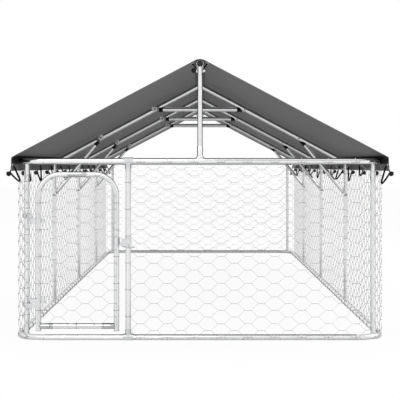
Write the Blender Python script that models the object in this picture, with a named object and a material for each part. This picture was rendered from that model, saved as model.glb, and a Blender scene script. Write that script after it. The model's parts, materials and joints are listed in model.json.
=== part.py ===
"""Walk-in dog kennel: a bolted tube frame, wire netting, a hinged tube door and a sheet roof.

Metres, +Z up. X runs across the front, +Y runs from the door end to the far end, and the
origin lies on the ground under the middle of the kennel.
"""

import math

import bmesh
import bpy
from mathutils import Matrix, Vector

# Layout of the frame, between tube axes
FRAME_LENGTH = 6.0
FRAME_WIDTH = 1.932
BAY_COUNT = 4
CORNER_RADIUS = 0.140
WALL_HEIGHT = 0.9328
RIDGE_RISE = 0.515
CORNER_POST_SETBACK = 0.0015

# Tubes
RAIL_DIAMETER = 0.032
POST_DIAMETER = 0.028
KING_POST_DIAMETER = 0.028
RIDGE_DIAMETER = 0.032
RAFTER_DIAMETER = 0.032
TIE_DIAMETER = 0.032
BRACE_DIAMETER = 0.025
TUBE_SIDES = 10
CORNER_STEPS = 6
RAIL_LEAD = 0.020

# Roof frames
RIDGE_END = 0.020
RAFTER_RIDGE_DROP = 0.008
RAFTER_EAVE_DROP = 0.005
TIE_RISE = 0.349
BRACE_FOOT_DROP = 0.217
BRACE_HEAD_X = 0.656

# Flattened ends of the ties and braces, bolted to the tube that they cross
END_PLATE_REACH = 0.020
FOOT_PLATE_REACH = 0.008
END_PLATE_THICKNESS = 0.003
TIE_PLATE_WIDTH = 0.027
BRACE_PLATE_WIDTH = 0.022
END_NECK_LENGTH = 0.025
END_NECK_OVERLAP = 0.002
END_NECK_INSET = 0.0005
END_NECK_SHARE = 0.92

# Tee clamps and the king posts' feet
TEE_LENGTH = 0.053
TEE_DEPTH = 0.026
TEE_WALL = 0.002
KING_SADDLE_LENGTH = 0.036
KING_FLARE_HEIGHT = 0.012
KING_FLARE_DIAMETER = 0.036
KING_SLEEVE_LENGTH = 0.060
KING_SLEEVE_WALL = 0.0015

# Strap clamps and their bolts
STRAP_THICKNESS = 0.002
STRAP_HEIGHT = 0.024
EAR_LENGTH = 0.020
EAR_GAP = 0.005
STRAP_STEPS = 8
BOLT_DIAMETER = 0.007
BOLT_HEAD_DIAMETER = 0.013
BOLT_HEAD_HEIGHT = 0.0045
RIDGE_CLAMP_LEG = 0.048
RIDGE_CLAMP_WIDTH = 0.020

# Netting
NET_THICKNESS = 0.002
NET_STRAND = 0.005
NET_BORDER = 0.006
NET_CELL_FINE = 0.160
NET_CELL_CORNER = 0.190
NET_CELL_COARSE = 0.300
NET_GROUND_GAP = 0.003
NET_TOP_RISE = 0.005
NET_LEAST_GAP_SHARE = 0.05
NET_EDGE_ANGLE = 45.0

# Roof sheet
SHEET_THICKNESS = 0.003
SHEET_OVERHANG = 0.040
SKIRT_CLEARANCE = 0.0087
SKIRT_DROP = 0.052
EAVE_RISE = 0.019
EAVE_RADIUS = 0.0135
RIDGE_FOLD_RADIUS = 0.055
RIDGE_STEPS = 4
EAVE_STEPS = 6

# Door
DOOR_TUBE_DIAMETER = 0.028
DOOR_WIDTH = 0.4135
DOOR_CORNER_RADIUS = 0.115
DOOR_HINGE_GAP = 0.1105
DOOR_LATCH_GAP = 0.062
DOOR_TOP_GAP = 0.070
DOOR_FOOT_GAP = 0.0318
CROSS_TUBE_RISE = 0.028
CROSS_SLEEVE_LENGTH = 0.066
CROSS_SLEEVE_WALL = 0.0015

# Hinges
PIN_OFFSET = 0.0375
PIN_DIAMETER = 0.010
PIN_CLEARANCE = 0.0005
PIN_REACH = 0.004
UPPER_HINGE_DROP = 0.2345
LOWER_HINGE_RISE = 0.1473
HINGE_GAP = 0.001

# Latch
LATCH_BAND_HEIGHT = 0.040
LATCH_PIVOT_OFFSET = 0.024
LATCH_PIVOT_RISE = 0.461
LATCH_PLATE_THICKNESS = 0.003
LATCH_PLATE_STANDOFF = 0.0045
LATCH_PLATE_LEFT = 0.0045
LATCH_PLATE_WIDTH = 0.047
LATCH_PLATE_RISE = 0.032
LATCH_PLATE_DROP = 0.0155
LATCH_EYE_RADIUS = 0.008
LATCH_EYE_CLEARANCE = 0.0004
LATCH_FINGER_REACH = 0.0145
LATCH_FINGER_HEIGHT = 0.006
LATCH_FINGER_LIFT = 0.008
LUG_THICKNESS = 0.004
LUG_HEIGHT = 0.016
LUG_REACH = 0.0155
LUG_TOP_DROP = 0.0025
LUG_HOLE_DIAMETER = 0.0085
LUG_CLEARANCE = 0.0008

# Gap between pieces that touch
GAP = 0.0003

RAIL_R = RAIL_DIAMETER / 2
POST_R = POST_DIAMETER / 2
KING_R = KING_POST_DIAMETER / 2
RIDGE_R = RIDGE_DIAMETER / 2
RAFTER_R = RAFTER_DIAMETER / 2
TIE_R = TIE_DIAMETER / 2
BRACE_R = BRACE_DIAMETER / 2
DOOR_R = DOOR_TUBE_DIAMETER / 2
PIN_R = PIN_DIAMETER / 2
FLAT = math.cos(math.pi / TUBE_SIDES)

HALF_LENGTH = FRAME_LENGTH / 2
HALF_WIDTH = FRAME_WIDTH / 2
BEND_X = HALF_WIDTH - CORNER_RADIUS
BEND_Y = HALF_LENGTH - CORNER_RADIUS
BOTTOM_Z = RAIL_R * FLAT
TOP_Z = BOTTOM_Z + WALL_HEIGHT
RIDGE_Z = TOP_Z + RIDGE_RISE
POST_FOOT_Z = BOTTOM_Z + RAIL_R * FLAT + GAP
POST_HEAD_Z = TOP_Z - RAIL_R * FLAT - GAP
FRAME_YS = [FRAME_LENGTH * (i / BAY_COUNT - 0.5) for i in range(1, BAY_COUNT)]

DOOR_LEFT_X = DOOR_HINGE_GAP - HALF_WIDTH
DOOR_RIGHT_X = DOOR_LEFT_X + DOOR_WIDTH
DOOR_POST_X = DOOR_RIGHT_X + DOOR_LATCH_GAP
DOOR_TOP_Z = TOP_Z - DOOR_TOP_GAP
DOOR_FOOT_Z = BOTTOM_Z + DOOR_FOOT_GAP
UPPER_HINGE_Z = DOOR_TOP_Z - UPPER_HINGE_DROP
LOWER_HINGE_Z = DOOR_FOOT_Z + LOWER_HINGE_RISE
LATCH_PIVOT_Z = DOOR_FOOT_Z + LATCH_PIVOT_RISE
CROSS_Z = DOOR_FOOT_Z + CROSS_TUBE_RISE
DOOR_Y = -HALF_LENGTH
PIN_X = DOOR_LEFT_X - PIN_OFFSET
CORNER_POST_INSET = CORNER_RADIUS * (1 - math.sqrt(0.5)) + CORNER_POST_SETBACK


def clear_scene():
    """Remove every object, so that the model starts from an empty scene."""
    for old in list(bpy.data.objects):
        bpy.data.objects.remove(old, do_unlink=True)


def new_collection(name):
    """Add a collection to the scene."""
    collection = bpy.data.collections.new(name)
    bpy.context.scene.collection.children.link(collection)
    return collection


def new_material(name, colour, metallic, roughness):
    """Make a Principled material of one colour."""
    material = bpy.data.materials.new(name)
    material.use_nodes = True
    shader = material.node_tree.nodes["Principled BSDF"]
    shader.inputs["Base Color"].default_value = (*colour, 1.0)
    shader.inputs["Metallic"].default_value = metallic
    shader.inputs["Roughness"].default_value = roughness
    return material


clear_scene()
PARTS = new_collection("dog_kennel")
CUTTERS = new_collection("cutters")
GALVANISED = new_material("galvanised_tube", (0.72, 0.73, 0.74), 0.9, 0.35)
ZINC = new_material("zinc_hardware", (0.66, 0.67, 0.69), 0.9, 0.40)
WIRE = new_material("netting_wire", (0.70, 0.71, 0.72), 0.8, 0.45)
SHEET = new_material("roof_sheet", (0.10, 0.10, 0.105), 0.0, 0.70)


def add_object(name, data, material, collection=None):
    """Put a mesh or curve in a collection, with its material."""
    piece = bpy.data.objects.new(name, data)
    (collection or PARTS).objects.link(piece)
    data.materials.append(material)
    return piece


def tube_curve(name, points, radius):
    """Curve data for a round tube with closed ends along a run of points."""
    data = bpy.data.curves.new(name, "CURVE")
    data.dimensions = "3D"
    data.bevel_depth = radius
    data.bevel_resolution = TUBE_SIDES // 2 - 2
    data.use_fill_caps = True
    spline = data.splines.new("POLY")
    spline.points.add(len(points) - 1)
    for spline_point, point in zip(spline.points, points):
        spline_point.co = (*point, 1.0)
    return data


def tube(name, points, radius, location=(0, 0, 0)):
    """A galvanised tube along points given from its own location."""
    piece = add_object(name, tube_curve(name, points, radius), GALVANISED)
    piece.location = location
    return piece


def arc(centre, radius, start, end, steps):
    """Points on a flat arc, from one angle to another in degrees."""
    points = []
    for i in range(steps + 1):
        angle = math.radians(start + (end - start) * i / steps)
        points.append((centre[0] + radius * math.cos(angle), centre[1] + radius * math.sin(angle)))
    return points


def flat_outline(name, outline, holes, thickness, material, collection=None):
    """A flat plate in its own XY plane, centred on it, from an outline and holes."""
    data = bpy.data.curves.new(name, "CURVE")
    data.dimensions = "2D"
    data.fill_mode = "BOTH"
    data.extrude = thickness / 2
    for loop in [outline, *holes]:
        spline = data.splines.new("POLY")
        spline.points.add(len(loop) - 1)
        for spline_point, (x, y) in zip(spline.points, loop):
            spline_point.co = (x, y, 0.0, 1.0)
        spline.use_cyclic_u = True
    return add_object(name, data, material, collection)


def facing(origin, across, up):
    """Placement that turns a plate's own X to across and its own Y to up."""
    across, up = Vector(across).normalized(), Vector(up).normalized()
    turn = Matrix((across, up, across.cross(up))).transposed()
    return Matrix.Translation(origin) @ turn.to_4x4()


def bar_outline(path, thickness):
    """Outline of a flat bar of even thickness bent along a path, seen on its edge."""
    left, right = [], []
    for i, point in enumerate(path):
        here = Vector(point)
        before = (here - Vector(path[i - 1])).normalized() if i else None
        after = (Vector(path[i + 1]) - here).normalized() if i + 1 < len(path) else before
        before = before or after
        middle = (before + after).normalized()
        side = Vector((-middle.y, middle.x)) * thickness / 2 / max(middle.dot(after), 0.3)
        left.append(tuple(here + side))
        right.append(tuple(here - side))
    return left + right[::-1]


def bent_bar(name, path, thickness, width, material, collection=None):
    """A flat bar bent along a path in its own XY plane, with its width along its own Z."""
    return flat_outline(name, bar_outline(path, thickness), [], width, material, collection)


def as_mesh(piece):
    """Turn a curve object into a closed mesh object of the same name and place."""
    bpy.context.view_layer.update()
    graph = bpy.context.evaluated_depsgraph_get()
    mesh = bpy.data.meshes.new_from_object(piece.evaluated_get(graph))
    welder = bmesh.new()
    welder.from_mesh(mesh)
    bmesh.ops.remove_doubles(welder, verts=welder.verts, dist=1e-6)
    bmesh.ops.recalc_face_normals(welder, faces=welder.faces)
    welder.to_mesh(mesh)
    welder.free()
    name, place, home = piece.name, piece.matrix_world.copy(), piece.users_collection[0]
    bpy.data.objects.remove(piece, do_unlink=True)
    solid = bpy.data.objects.new(name, mesh)
    home.objects.link(solid)
    solid.matrix_world = place
    return solid


def round_bar(name, start, end, radius, material, sides=TUBE_SIDES, end_radius=None, collection=None):
    """A cylinder or cone between two points."""
    start, end = Vector(start), Vector(end)
    builder = bmesh.new()
    bmesh.ops.create_cone(
        builder,
        cap_ends=True,
        segments=sides,
        radius1=radius,
        radius2=radius if end_radius is None else end_radius,
        depth=(end - start).length,
    )
    mesh = bpy.data.meshes.new(name)
    builder.to_mesh(mesh)
    builder.free()
    piece = add_object(name, mesh, material, collection)
    turn = (end - start).to_track_quat("Z", "Y").to_matrix().to_4x4()
    piece.matrix_world = Matrix.Translation((start + end) / 2) @ turn
    return piece


def block(name, low, high, material, collection=None):
    """A box between two corners."""
    low, high = Vector(low), Vector(high)
    builder = bmesh.new()
    bmesh.ops.create_cube(builder, size=1.0)
    bmesh.ops.scale(builder, vec=high - low, verts=builder.verts)
    mesh = bpy.data.meshes.new(name)
    builder.to_mesh(mesh)
    builder.free()
    piece = add_object(name, mesh, material, collection)
    piece.location = (low + high) / 2
    return piece


def hull(name, points, material):
    """The convex solid round a set of points."""
    builder = bmesh.new()
    for point in points:
        builder.verts.new(point)
    bmesh.ops.convex_hull(builder, input=builder.verts)
    bmesh.ops.recalc_face_normals(builder, faces=builder.faces)
    mesh = bpy.data.meshes.new(name)
    builder.to_mesh(mesh)
    builder.free()
    return add_object(name, mesh, material)


def combine(piece, other, operation):
    """Cut a helper shape from a piece, or unite it with the piece."""
    if other.name not in CUTTERS.objects:
        for home in list(other.users_collection):
            home.objects.unlink(other)
        CUTTERS.objects.link(other)
    other.hide_render = True
    other.display_type = "WIRE"
    modifier = piece.modifiers.new(f"{operation.lower()}_{other.name}"[:60], "BOOLEAN")
    modifier.operation = operation
    modifier.solver = "EXACT"
    modifier.object = other


def mitred_tube(name, start, end, radius, start_normal, end_normal):
    """A straight tube whose flat ends lie square to the two given directions."""
    start, end = Vector(start), Vector(end)
    piece = round_bar(name, start, end, radius, GALVANISED)
    along = (end - start).normalized()
    to_world = piece.matrix_world.copy()
    to_local = to_world.inverted()
    half = (end - start).length / 2
    for vertex in piece.data.vertices:
        on_end = vertex.co.z > 0
        point = to_world @ vertex.co
        seat, normal = (end, Vector(end_normal)) if on_end else (start, Vector(start_normal))
        point += along * (seat - point).dot(normal) / along.dot(normal)
        vertex.co = to_local @ point
    return piece


def clear_radius(radius, steps_in_circle, gap=GAP):
    """Inner radius of a faceted ring that clears a round tube by a gap."""
    return (radius + gap) / math.cos(math.pi / steps_in_circle)


def smooth(piece):
    """Shade a round piece smooth, keeping its sharp edges."""
    if piece.type == "MESH":
        piece.data.shade_smooth()
        piece.data.set_sharp_from_angle(angle=math.radians(40))
    return piece


def bolt(name, start, end, collection=None):
    """A hexagon bolt with its head before start and its nut after end."""
    start, end = Vector(start), Vector(end)
    along = (end - start).normalized() * BOLT_HEAD_HEIGHT
    profile = [
        (start - along, 0.0),
        (start - along, BOLT_HEAD_DIAMETER / 2),
        (start, BOLT_HEAD_DIAMETER / 2),
        (start, BOLT_DIAMETER / 2),
        (end, BOLT_DIAMETER / 2),
        (end, BOLT_HEAD_DIAMETER / 2),
        (end + along, BOLT_HEAD_DIAMETER / 2),
        (end + along, 0.0),
    ]
    return turned(name, profile, ZINC, 6, collection)


def turned(name, profile, material, sides, collection=None):
    """A lathe shape from pairs of a point on the axis and the radius there."""
    axis = (profile[-1][0] - profile[0][0]).normalized()
    side = axis.orthogonal().normalized()
    builder = bmesh.new()
    outline = [builder.verts.new(point + side * radius) for point, radius in profile]
    edges = [builder.edges.new(pair) for pair in zip(outline, outline[1:])]
    bmesh.ops.spin(
        builder,
        geom=outline + edges,
        cent=profile[0][0],
        axis=axis,
        angle=2 * math.pi,
        steps=sides,
    )
    bmesh.ops.remove_doubles(builder, verts=builder.verts, dist=1e-5)
    bmesh.ops.recalc_face_normals(builder, faces=builder.faces)
    mesh = bpy.data.meshes.new(name)
    builder.to_mesh(mesh)
    builder.free()
    return add_object(name, mesh, material, collection)


def build_rails():
    """The two rail loops: end tubes bent at both corners and straight side tubes."""
    for level, z in (("bottom", BOTTOM_Z), ("top", TOP_Z)):
        for end, sign in (("front", -1), ("back", 1)):
            right = arc((BEND_X, sign * BEND_Y), CORNER_RADIUS, 0, sign * 90, CORNER_STEPS)
            left = arc((-BEND_X, sign * BEND_Y), CORNER_RADIUS, sign * 90, sign * 180, CORNER_STEPS)
            lead_y = sign * (BEND_Y - RAIL_LEAD)
            bends = [(HALF_WIDTH, lead_y), *right, *left, (-HALF_WIDTH, lead_y)]
            path = [(x, y, 0.0) for x, y in bends]
            tube(f"{level}_rail_{end}", path, RAIL_R, (0, 0, z))
        for side, sign in (("left", -1), ("right", 1)):
            half = BEND_Y - RAIL_LEAD - GAP
            path = [(0, -half, 0), (0, half, 0)]
            tube(f"{level}_rail_{side}", path, RAIL_R, (sign * HALF_WIDTH, 0, z))


def build_posts():
    """Posts that stand between the rails: four corners, the sides and the door."""
    path = [(0, 0, 0), (0, 0, POST_HEAD_Z - POST_FOOT_Z)]
    for end, end_sign in (("front", -1), ("back", 1)):
        for side, side_sign in (("left", -1), ("right", 1)):
            x = side_sign * (HALF_WIDTH - CORNER_POST_INSET)
            y = end_sign * (HALF_LENGTH - CORNER_POST_INSET)
            tube(f"corner_post_{end}_{side}", path, POST_R, (x, y, POST_FOOT_Z))
    for number, y in enumerate(FRAME_YS, 1):
        for side, sign in (("left", -1), ("right", 1)):
            tube(f"side_post_{side}_{number}", path, POST_R, (sign * HALF_WIDTH, y, POST_FOOT_Z))
    tube("door_post", path, POST_R, (DOOR_POST_X, DOOR_Y, POST_FOOT_Z))


def build_tee_clamp(name, z, direction):
    """A tee clamp round the rail at one end of the door post."""
    rail_bore = clear_radius(RAIL_R, TUBE_SIDES)
    post_bore = clear_radius(POST_R, TUBE_SIDES)
    middle = Vector((DOOR_POST_X, DOOR_Y, z))
    along = Vector((TEE_LENGTH / 2, 0, 0))
    down = Vector((0, 0, direction * (RAIL_R + TEE_DEPTH)))
    clamp = round_bar(name, middle - along, middle + along, rail_bore + TEE_WALL, ZINC)
    neck = round_bar(f"{name}_neck", middle, middle + down, post_bore + TEE_WALL, ZINC)
    combine(clamp, neck, "UNION")
    rail = round_bar(f"{name}_rail_bore", middle - 2 * along, middle + 2 * along, rail_bore, ZINC)
    combine(clamp, rail, "DIFFERENCE")
    post = round_bar(f"{name}_post_bore", middle, middle + 2 * down, post_bore, ZINC)
    combine(clamp, post, "DIFFERENCE")
    low = middle - Vector((TEE_LENGTH, TEE_LENGTH, TEE_LENGTH))
    high = Vector((middle.x + TEE_LENGTH, middle.y + TEE_LENGTH, GAP))
    if z - rail_bore - TEE_WALL < GAP:
        combine(clamp, block(f"{name}_ground_cut", low, high, ZINC), "DIFFERENCE")
    return smooth(clamp)


def ridge_strap_radius():
    """Middle radius of the strap round the ridge pole."""
    return clear_radius(RIDGE_R, 2 * STRAP_STEPS) + STRAP_THICKNESS / 2


def build_king_post(end, sign):
    """A gable post from the top rail to the ridge, with its saddle and bolt hole."""
    y = sign * HALF_LENGTH
    foot = TOP_Z + RAIL_R + GAP + TEE_WALL / 2
    head = RIDGE_Z - RIDGE_R * FLAT - GAP
    name = f"king_post_{end}"
    post = as_mesh(tube(name, [(0, 0, foot), (0, 0, head)], KING_R, (0, y, 0)))
    rail_bore = clear_radius(RAIL_R, TUBE_SIDES)
    half = Vector((KING_SADDLE_LENGTH / 2, 0, 0))
    seat = Vector((0, y, TOP_Z))
    saddle = as_mesh(
        bent_bar(
            f"{name}_saddle",
            arc((0, 0), rail_bore + TEE_WALL / 2, 40, 140, 4),
            TEE_WALL,
            KING_SADDLE_LENGTH,
            ZINC,
        )
    )
    saddle.matrix_world = facing(seat, (0, 1, 0), (0, 0, 1))
    combine(post, saddle, "UNION")
    sleeve_r = KING_R + KING_SLEEVE_WALL
    low, high = (0, y, foot - TEE_WALL), (0, y, foot + KING_SLEEVE_LENGTH)
    combine(post, round_bar(f"{name}_sleeve", low, high, sleeve_r, GALVANISED), "UNION")
    flare = round_bar(
        f"{name}_flare",
        low,
        (0, y, foot + KING_FLARE_HEIGHT),
        KING_FLARE_DIAMETER / 2,
        GALVANISED,
        end_radius=KING_R,
    )
    combine(post, flare, "UNION")
    bore = round_bar(f"{name}_bore", seat - 2 * half, seat + 2 * half, rail_bore, ZINC)
    combine(post, bore, "DIFFERENCE")
    reach = Vector((2 * KING_R, 0, 0))
    bolt_at = Vector((0, y, ridge_bolt_z()))
    hole = round_bar(
        f"{name}_bolt_hole",
        bolt_at - reach,
        bolt_at + reach,
        clear_radius(BOLT_DIAMETER / 2, 8),
        ZINC,
        sides=8,
    )
    combine(post, hole, "DIFFERENCE")
    return smooth(post)


def ridge_bolt_z():
    """Height of the bolt that holds a ridge strap to its king post."""
    return RIDGE_Z - RIDGE_CLAMP_LEG + BOLT_HEAD_DIAMETER / 2 + STRAP_THICKNESS


def build_ridge_clamp(end, sign):
    """A strap that loops over the ridge pole, with legs bolted through the king post."""
    radius = ridge_strap_radius()
    leg_x = KING_R + GAP + STRAP_THICKNESS / 2
    lean = math.degrees(math.acos(min(leg_x / radius, 1.0)))
    loop = arc((0, RIDGE_Z), radius, -lean, 180 + lean, STRAP_STEPS + 2)
    foot_z = RIDGE_Z - RIDGE_CLAMP_LEG
    path = [(leg_x, foot_z), *loop, (-leg_x, foot_z)]
    y = sign * HALF_LENGTH
    clamp = bent_bar(f"ridge_clamp_{end}", path, STRAP_THICKNESS, RIDGE_CLAMP_WIDTH, ZINC)
    clamp.matrix_world = facing((0, y, 0), (1, 0, 0), (0, 0, 1))
    clamp = as_mesh(clamp)
    outside = Vector((leg_x + STRAP_THICKNESS / 4, 0, 0))
    bolt_at = Vector((0, y, ridge_bolt_z()))
    combine(clamp, bolt(f"ridge_bolt_{end}", bolt_at - outside, bolt_at + outside), "UNION")


def sheet_rise():
    """Height of the roof sheet's middle above the ridge pole's axis."""
    return ridge_strap_radius() + STRAP_THICKNESS / 2 + GAP + SHEET_THICKNESS / 2


def rafter_point(x):
    """Height of the rafter axes at a distance from the middle."""
    top = RIDGE_Z - RAFTER_RIDGE_DROP
    foot = TOP_Z - RAFTER_EAVE_DROP
    return top + (foot - top) * x / HALF_WIDTH


def build_rafters():
    """Rafter pairs that meet under the ridge pole and end against the side rails."""
    bore = clear_radius(RIDGE_R, TUBE_SIDES)
    half = Vector((0, HALF_LENGTH, 0))
    ridge = Vector((0, 0, RIDGE_Z))
    notch = round_bar("ridge_notch", ridge - half, ridge + half, bore, GALVANISED)
    for number, y in enumerate(FRAME_YS, 1):
        for name, side in (("left", -1), ("right", 1)):
            near, far = GAP / 2, HALF_WIDTH - RAIL_R - GAP
            start = (side * near, y, rafter_point(near))
            end = (side * far, y, rafter_point(far))
            across = (1, 0, 0)
            rafter = mitred_tube(f"rafter_{name}_{number}", start, end, RAFTER_R, across, across)
            combine(rafter, notch, "DIFFERENCE")
            smooth(rafter)


def flattened_end(member, name, seat, into, facing_back, tube_radius, crossed, width, reach):
    """Give a tube a flat end that lies over the tube it crosses, and a bolt head on it.

    The seat is where the two axes cross, into runs from there along the tube, and crossed holds
    the crossed tube's two ends and the radius that clears it.
    """
    crossed_start, crossed_end, clear = crossed
    outward = Vector((0, 1 if facing_back else -1, 0))
    across = into.cross(outward)
    inner = outward * (clear + GAP / 3)
    outer = outward * (clear + GAP / 3 + END_PLATE_THICKNESS)

    def corners(distance, inset):
        """The plate's four corners at a distance along the tube, drawn in by an inset."""
        half = across * (width / 2 - inset)
        faces = inner + outward * inset, outer - outward * inset
        return [seat + into * distance + face + shift for face in faces for shift in (half, -half)]

    plate = hull(f"{name}_plate", corners(-reach, 0) + corners(END_PLATE_REACH, 0), ZINC)
    combine(member, plate, "UNION")
    ring = []
    centre = seat + into * (END_PLATE_REACH + END_NECK_LENGTH + END_NECK_OVERLAP)
    for i in range(TUBE_SIDES):
        angle = 2 * math.pi * (i + 0.5) / TUBE_SIDES
        spoke = across * math.cos(angle) + outward * math.sin(angle)
        ring.append(centre + spoke * tube_radius * END_NECK_SHARE)
    neck = hull(f"{name}_neck", corners(END_PLATE_REACH - END_NECK_OVERLAP, END_NECK_INSET) + ring, ZINC)
    combine(member, neck, "UNION")
    cutter = round_bar(f"{name}_cope", crossed_start, crossed_end, clear, ZINC)
    combine(member, cutter, "DIFFERENCE")
    head = round_bar(
        f"{name}_bolt",
        seat + outer - outward * END_PLATE_THICKNESS / 2,
        seat + outer + outward * BOLT_HEAD_HEIGHT,
        BOLT_HEAD_DIAMETER / 2,
        ZINC,
        sides=6,
    )
    combine(member, head, "UNION")


def rafter_run(side, y):
    """Both ends of a rafter's axis, run on past its ends, and the radius that clears it."""
    start = Vector((0, y, rafter_point(0)))
    end = Vector((side * HALF_WIDTH, y, rafter_point(HALF_WIDTH)))
    return start, end, RAFTER_R + GAP / FLAT


def build_collar_ties():
    """Level ties between the rafters, flat at both ends: the left in front, the right behind."""
    z = TOP_Z + TIE_RISE
    meet_x = HALF_WIDTH * (rafter_point(0) - z) / (rafter_point(0) - rafter_point(HALF_WIDTH))
    half = meet_x - END_PLATE_REACH - END_NECK_LENGTH
    for number, y in enumerate(FRAME_YS, 1):
        tie = round_bar(f"collar_tie_{number}", (-half, y, z), (half, y, z), TIE_R, GALVANISED)
        for name, side in (("left", -1), ("right", 1)):
            flattened_end(
                tie,
                f"tie_{number}_{name}",
                Vector((side * meet_x, y, z)),
                Vector((-side, 0, 0)),
                side > 0,
                TIE_R,
                rafter_run(side, y),
                TIE_PLATE_WIDTH,
                END_PLATE_REACH,
            )
        smooth(tie)


def build_knee_braces():
    """Braces from the side posts to the rafters, flat and bolted at both ends."""
    foot_z = TOP_Z - BRACE_FOOT_DROP
    inset = END_PLATE_REACH + END_NECK_LENGTH
    for number, y in enumerate(FRAME_YS, 1):
        for name, side in (("left", -1), ("right", 1)):
            head = Vector((side * BRACE_HEAD_X, y, rafter_point(BRACE_HEAD_X)))
            foot = Vector((side * HALF_WIDTH, y, foot_z))
            along = (head - foot).normalized()
            label = f"knee_brace_{name}_{number}"
            brace = round_bar(label, foot + along * inset, head - along * inset, BRACE_R, GALVANISED)
            post_foot, post_head = Vector((foot.x, y, POST_FOOT_Z)), Vector((foot.x, y, POST_HEAD_Z))
            post = post_foot, post_head, clear_radius(POST_R, TUBE_SIDES)
            for end, seat, into, back, crossed, reach in (
                ("head", head, -along, side > 0, rafter_run(side, y), END_PLATE_REACH),
                ("foot", foot, along, side < 0, post, FOOT_PLATE_REACH),
            ):
                flattened_end(
                    brace, f"{label}_{end}", seat, into, back, BRACE_R, crossed, BRACE_PLATE_WIDTH, reach
                )
            smooth(brace)


def build_roof():
    """The ridge pole on its king posts, and the sheet over it."""
    reach = HALF_LENGTH + RIDGE_END
    tube("ridge_pole", [(0, -reach, 0), (0, reach, 0)], RIDGE_R, (0, 0, RIDGE_Z))
    skirt_x = HALF_WIDTH + RAIL_R + SKIRT_CLEARANCE + SHEET_THICKNESS / 2
    corner_z = TOP_Z + EAVE_RISE
    fold_z = RIDGE_Z + sheet_rise() - RIDGE_FOLD_RADIUS
    fold_distance = math.hypot(skirt_x, fold_z - corner_z)
    slope = math.atan2(fold_z - corner_z, skirt_x) + math.asin(RIDGE_FOLD_RADIUS / fold_distance)
    degrees = math.degrees(slope)
    fillet_z = corner_z - EAVE_RADIUS * math.tan((math.pi / 2 - slope) / 2)
    eave = arc((skirt_x - EAVE_RADIUS, fillet_z), EAVE_RADIUS, 90 - degrees, 0, EAVE_STEPS)
    ridge = arc((0, fold_z), RIDGE_FOLD_RADIUS, 90, 90 - degrees, RIDGE_STEPS)
    right = ridge + eave + [(skirt_x, TOP_Z - SKIRT_DROP)]
    left = [(-x, z) for x, z in right[:0:-1]]
    length = FRAME_LENGTH + 2 * SHEET_OVERHANG
    sheet = bent_bar("tarp_roof", left + right, SHEET_THICKNESS, length, SHEET)
    sheet.matrix_world = facing((0, 0, 0), (1, 0, 0), (0, 0, 1))


def clip(loop, corners):
    """The part of a loop inside a convex region given counterclockwise."""
    for start, end in zip(corners, corners[1:] + corners[:1]):
        edge = (end[0] - start[0], end[1] - start[1])

        def inside(point):
            return edge[0] * (point[1] - start[1]) - edge[1] * (point[0] - start[0])

        kept = []
        for here, after in zip(loop, loop[1:] + loop[:1]):
            a, b = inside(here), inside(after)
            if a >= 0:
                kept.append(here)
            if (a >= 0) != (b >= 0):
                t = a / (a - b)
                kept.append((here[0] + t * (after[0] - here[0]), here[1] + t * (after[1] - here[1])))
        loop = kept
        if not loop:
            return []
    return loop


def loop_area(loop):
    """Area inside a counterclockwise loop."""
    return sum(a[0] * b[1] - b[0] * a[1] for a, b in zip(loop, loop[1:] + loop[:1])) / 2


def net_gaps(region, cell):
    """The six-sided gaps of a net inside a convex region, between strands of even width.

    The cells are stretched a little, so that whole and half cells fill the region.
    """
    low_x, high_x = min(p[0] for p in region), max(p[0] for p in region)
    low_y, high_y = min(p[1] for p in region), max(p[1] for p in region)
    columns = max(1, round((high_x - low_x) / cell))
    rows = max(1, round((high_y - low_y) / cell))
    pitch_x, pitch_y = (high_x - low_x) / columns, (high_y - low_y) / rows
    point = pitch_x * 0.75 - NET_STRAND * 0.6
    flat = pitch_x * 0.25 - NET_STRAND * 0.15
    high = (pitch_y - NET_STRAND) / 2
    gaps = []
    for column in range(columns + 1):
        x = low_x + column * pitch_x
        for row in range(rows + 1):
            y = low_y + (row + (column % 2) / 2) * pitch_y
            gap = [
                (x + point, y),
                (x + flat, y + high),
                (x - flat, y + high),
                (x - point, y),
                (x - flat, y - high),
                (x + flat, y - high),
            ]
            gap = clip(gap, region)
            if gap and loop_area(gap) > NET_LEAST_GAP_SHARE * pitch_x * pitch_y:
                gaps.append(gap)
    return gaps


def rectangle(left, bottom, right, top):
    """The four corners of an upright rectangle, counterclockwise."""
    return [(left, bottom), (right, bottom), (right, top), (left, top)]


NET_BOTTOM_Z = NET_GROUND_GAP
NET_TOP_Z = TOP_Z + NET_TOP_RISE
NET_OFFSET = RAIL_R + GAP + NET_THICKNESS / 2


def build_wall_net(name, left, right, cell, origin, across, outline=None):
    """A flat net that lies on the outside of two rails."""
    border = rectangle(left, NET_BOTTOM_Z, right, NET_TOP_Z)
    region = rectangle(
        left + NET_BORDER, NET_BOTTOM_Z + NET_BORDER, right - NET_BORDER, NET_TOP_Z - NET_BORDER
    )
    net = flat_outline(name, outline or border, net_gaps(region, cell), NET_THICKNESS, WIRE)
    net.matrix_world = facing(origin, across, (0, 0, 1))
    return net


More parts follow.
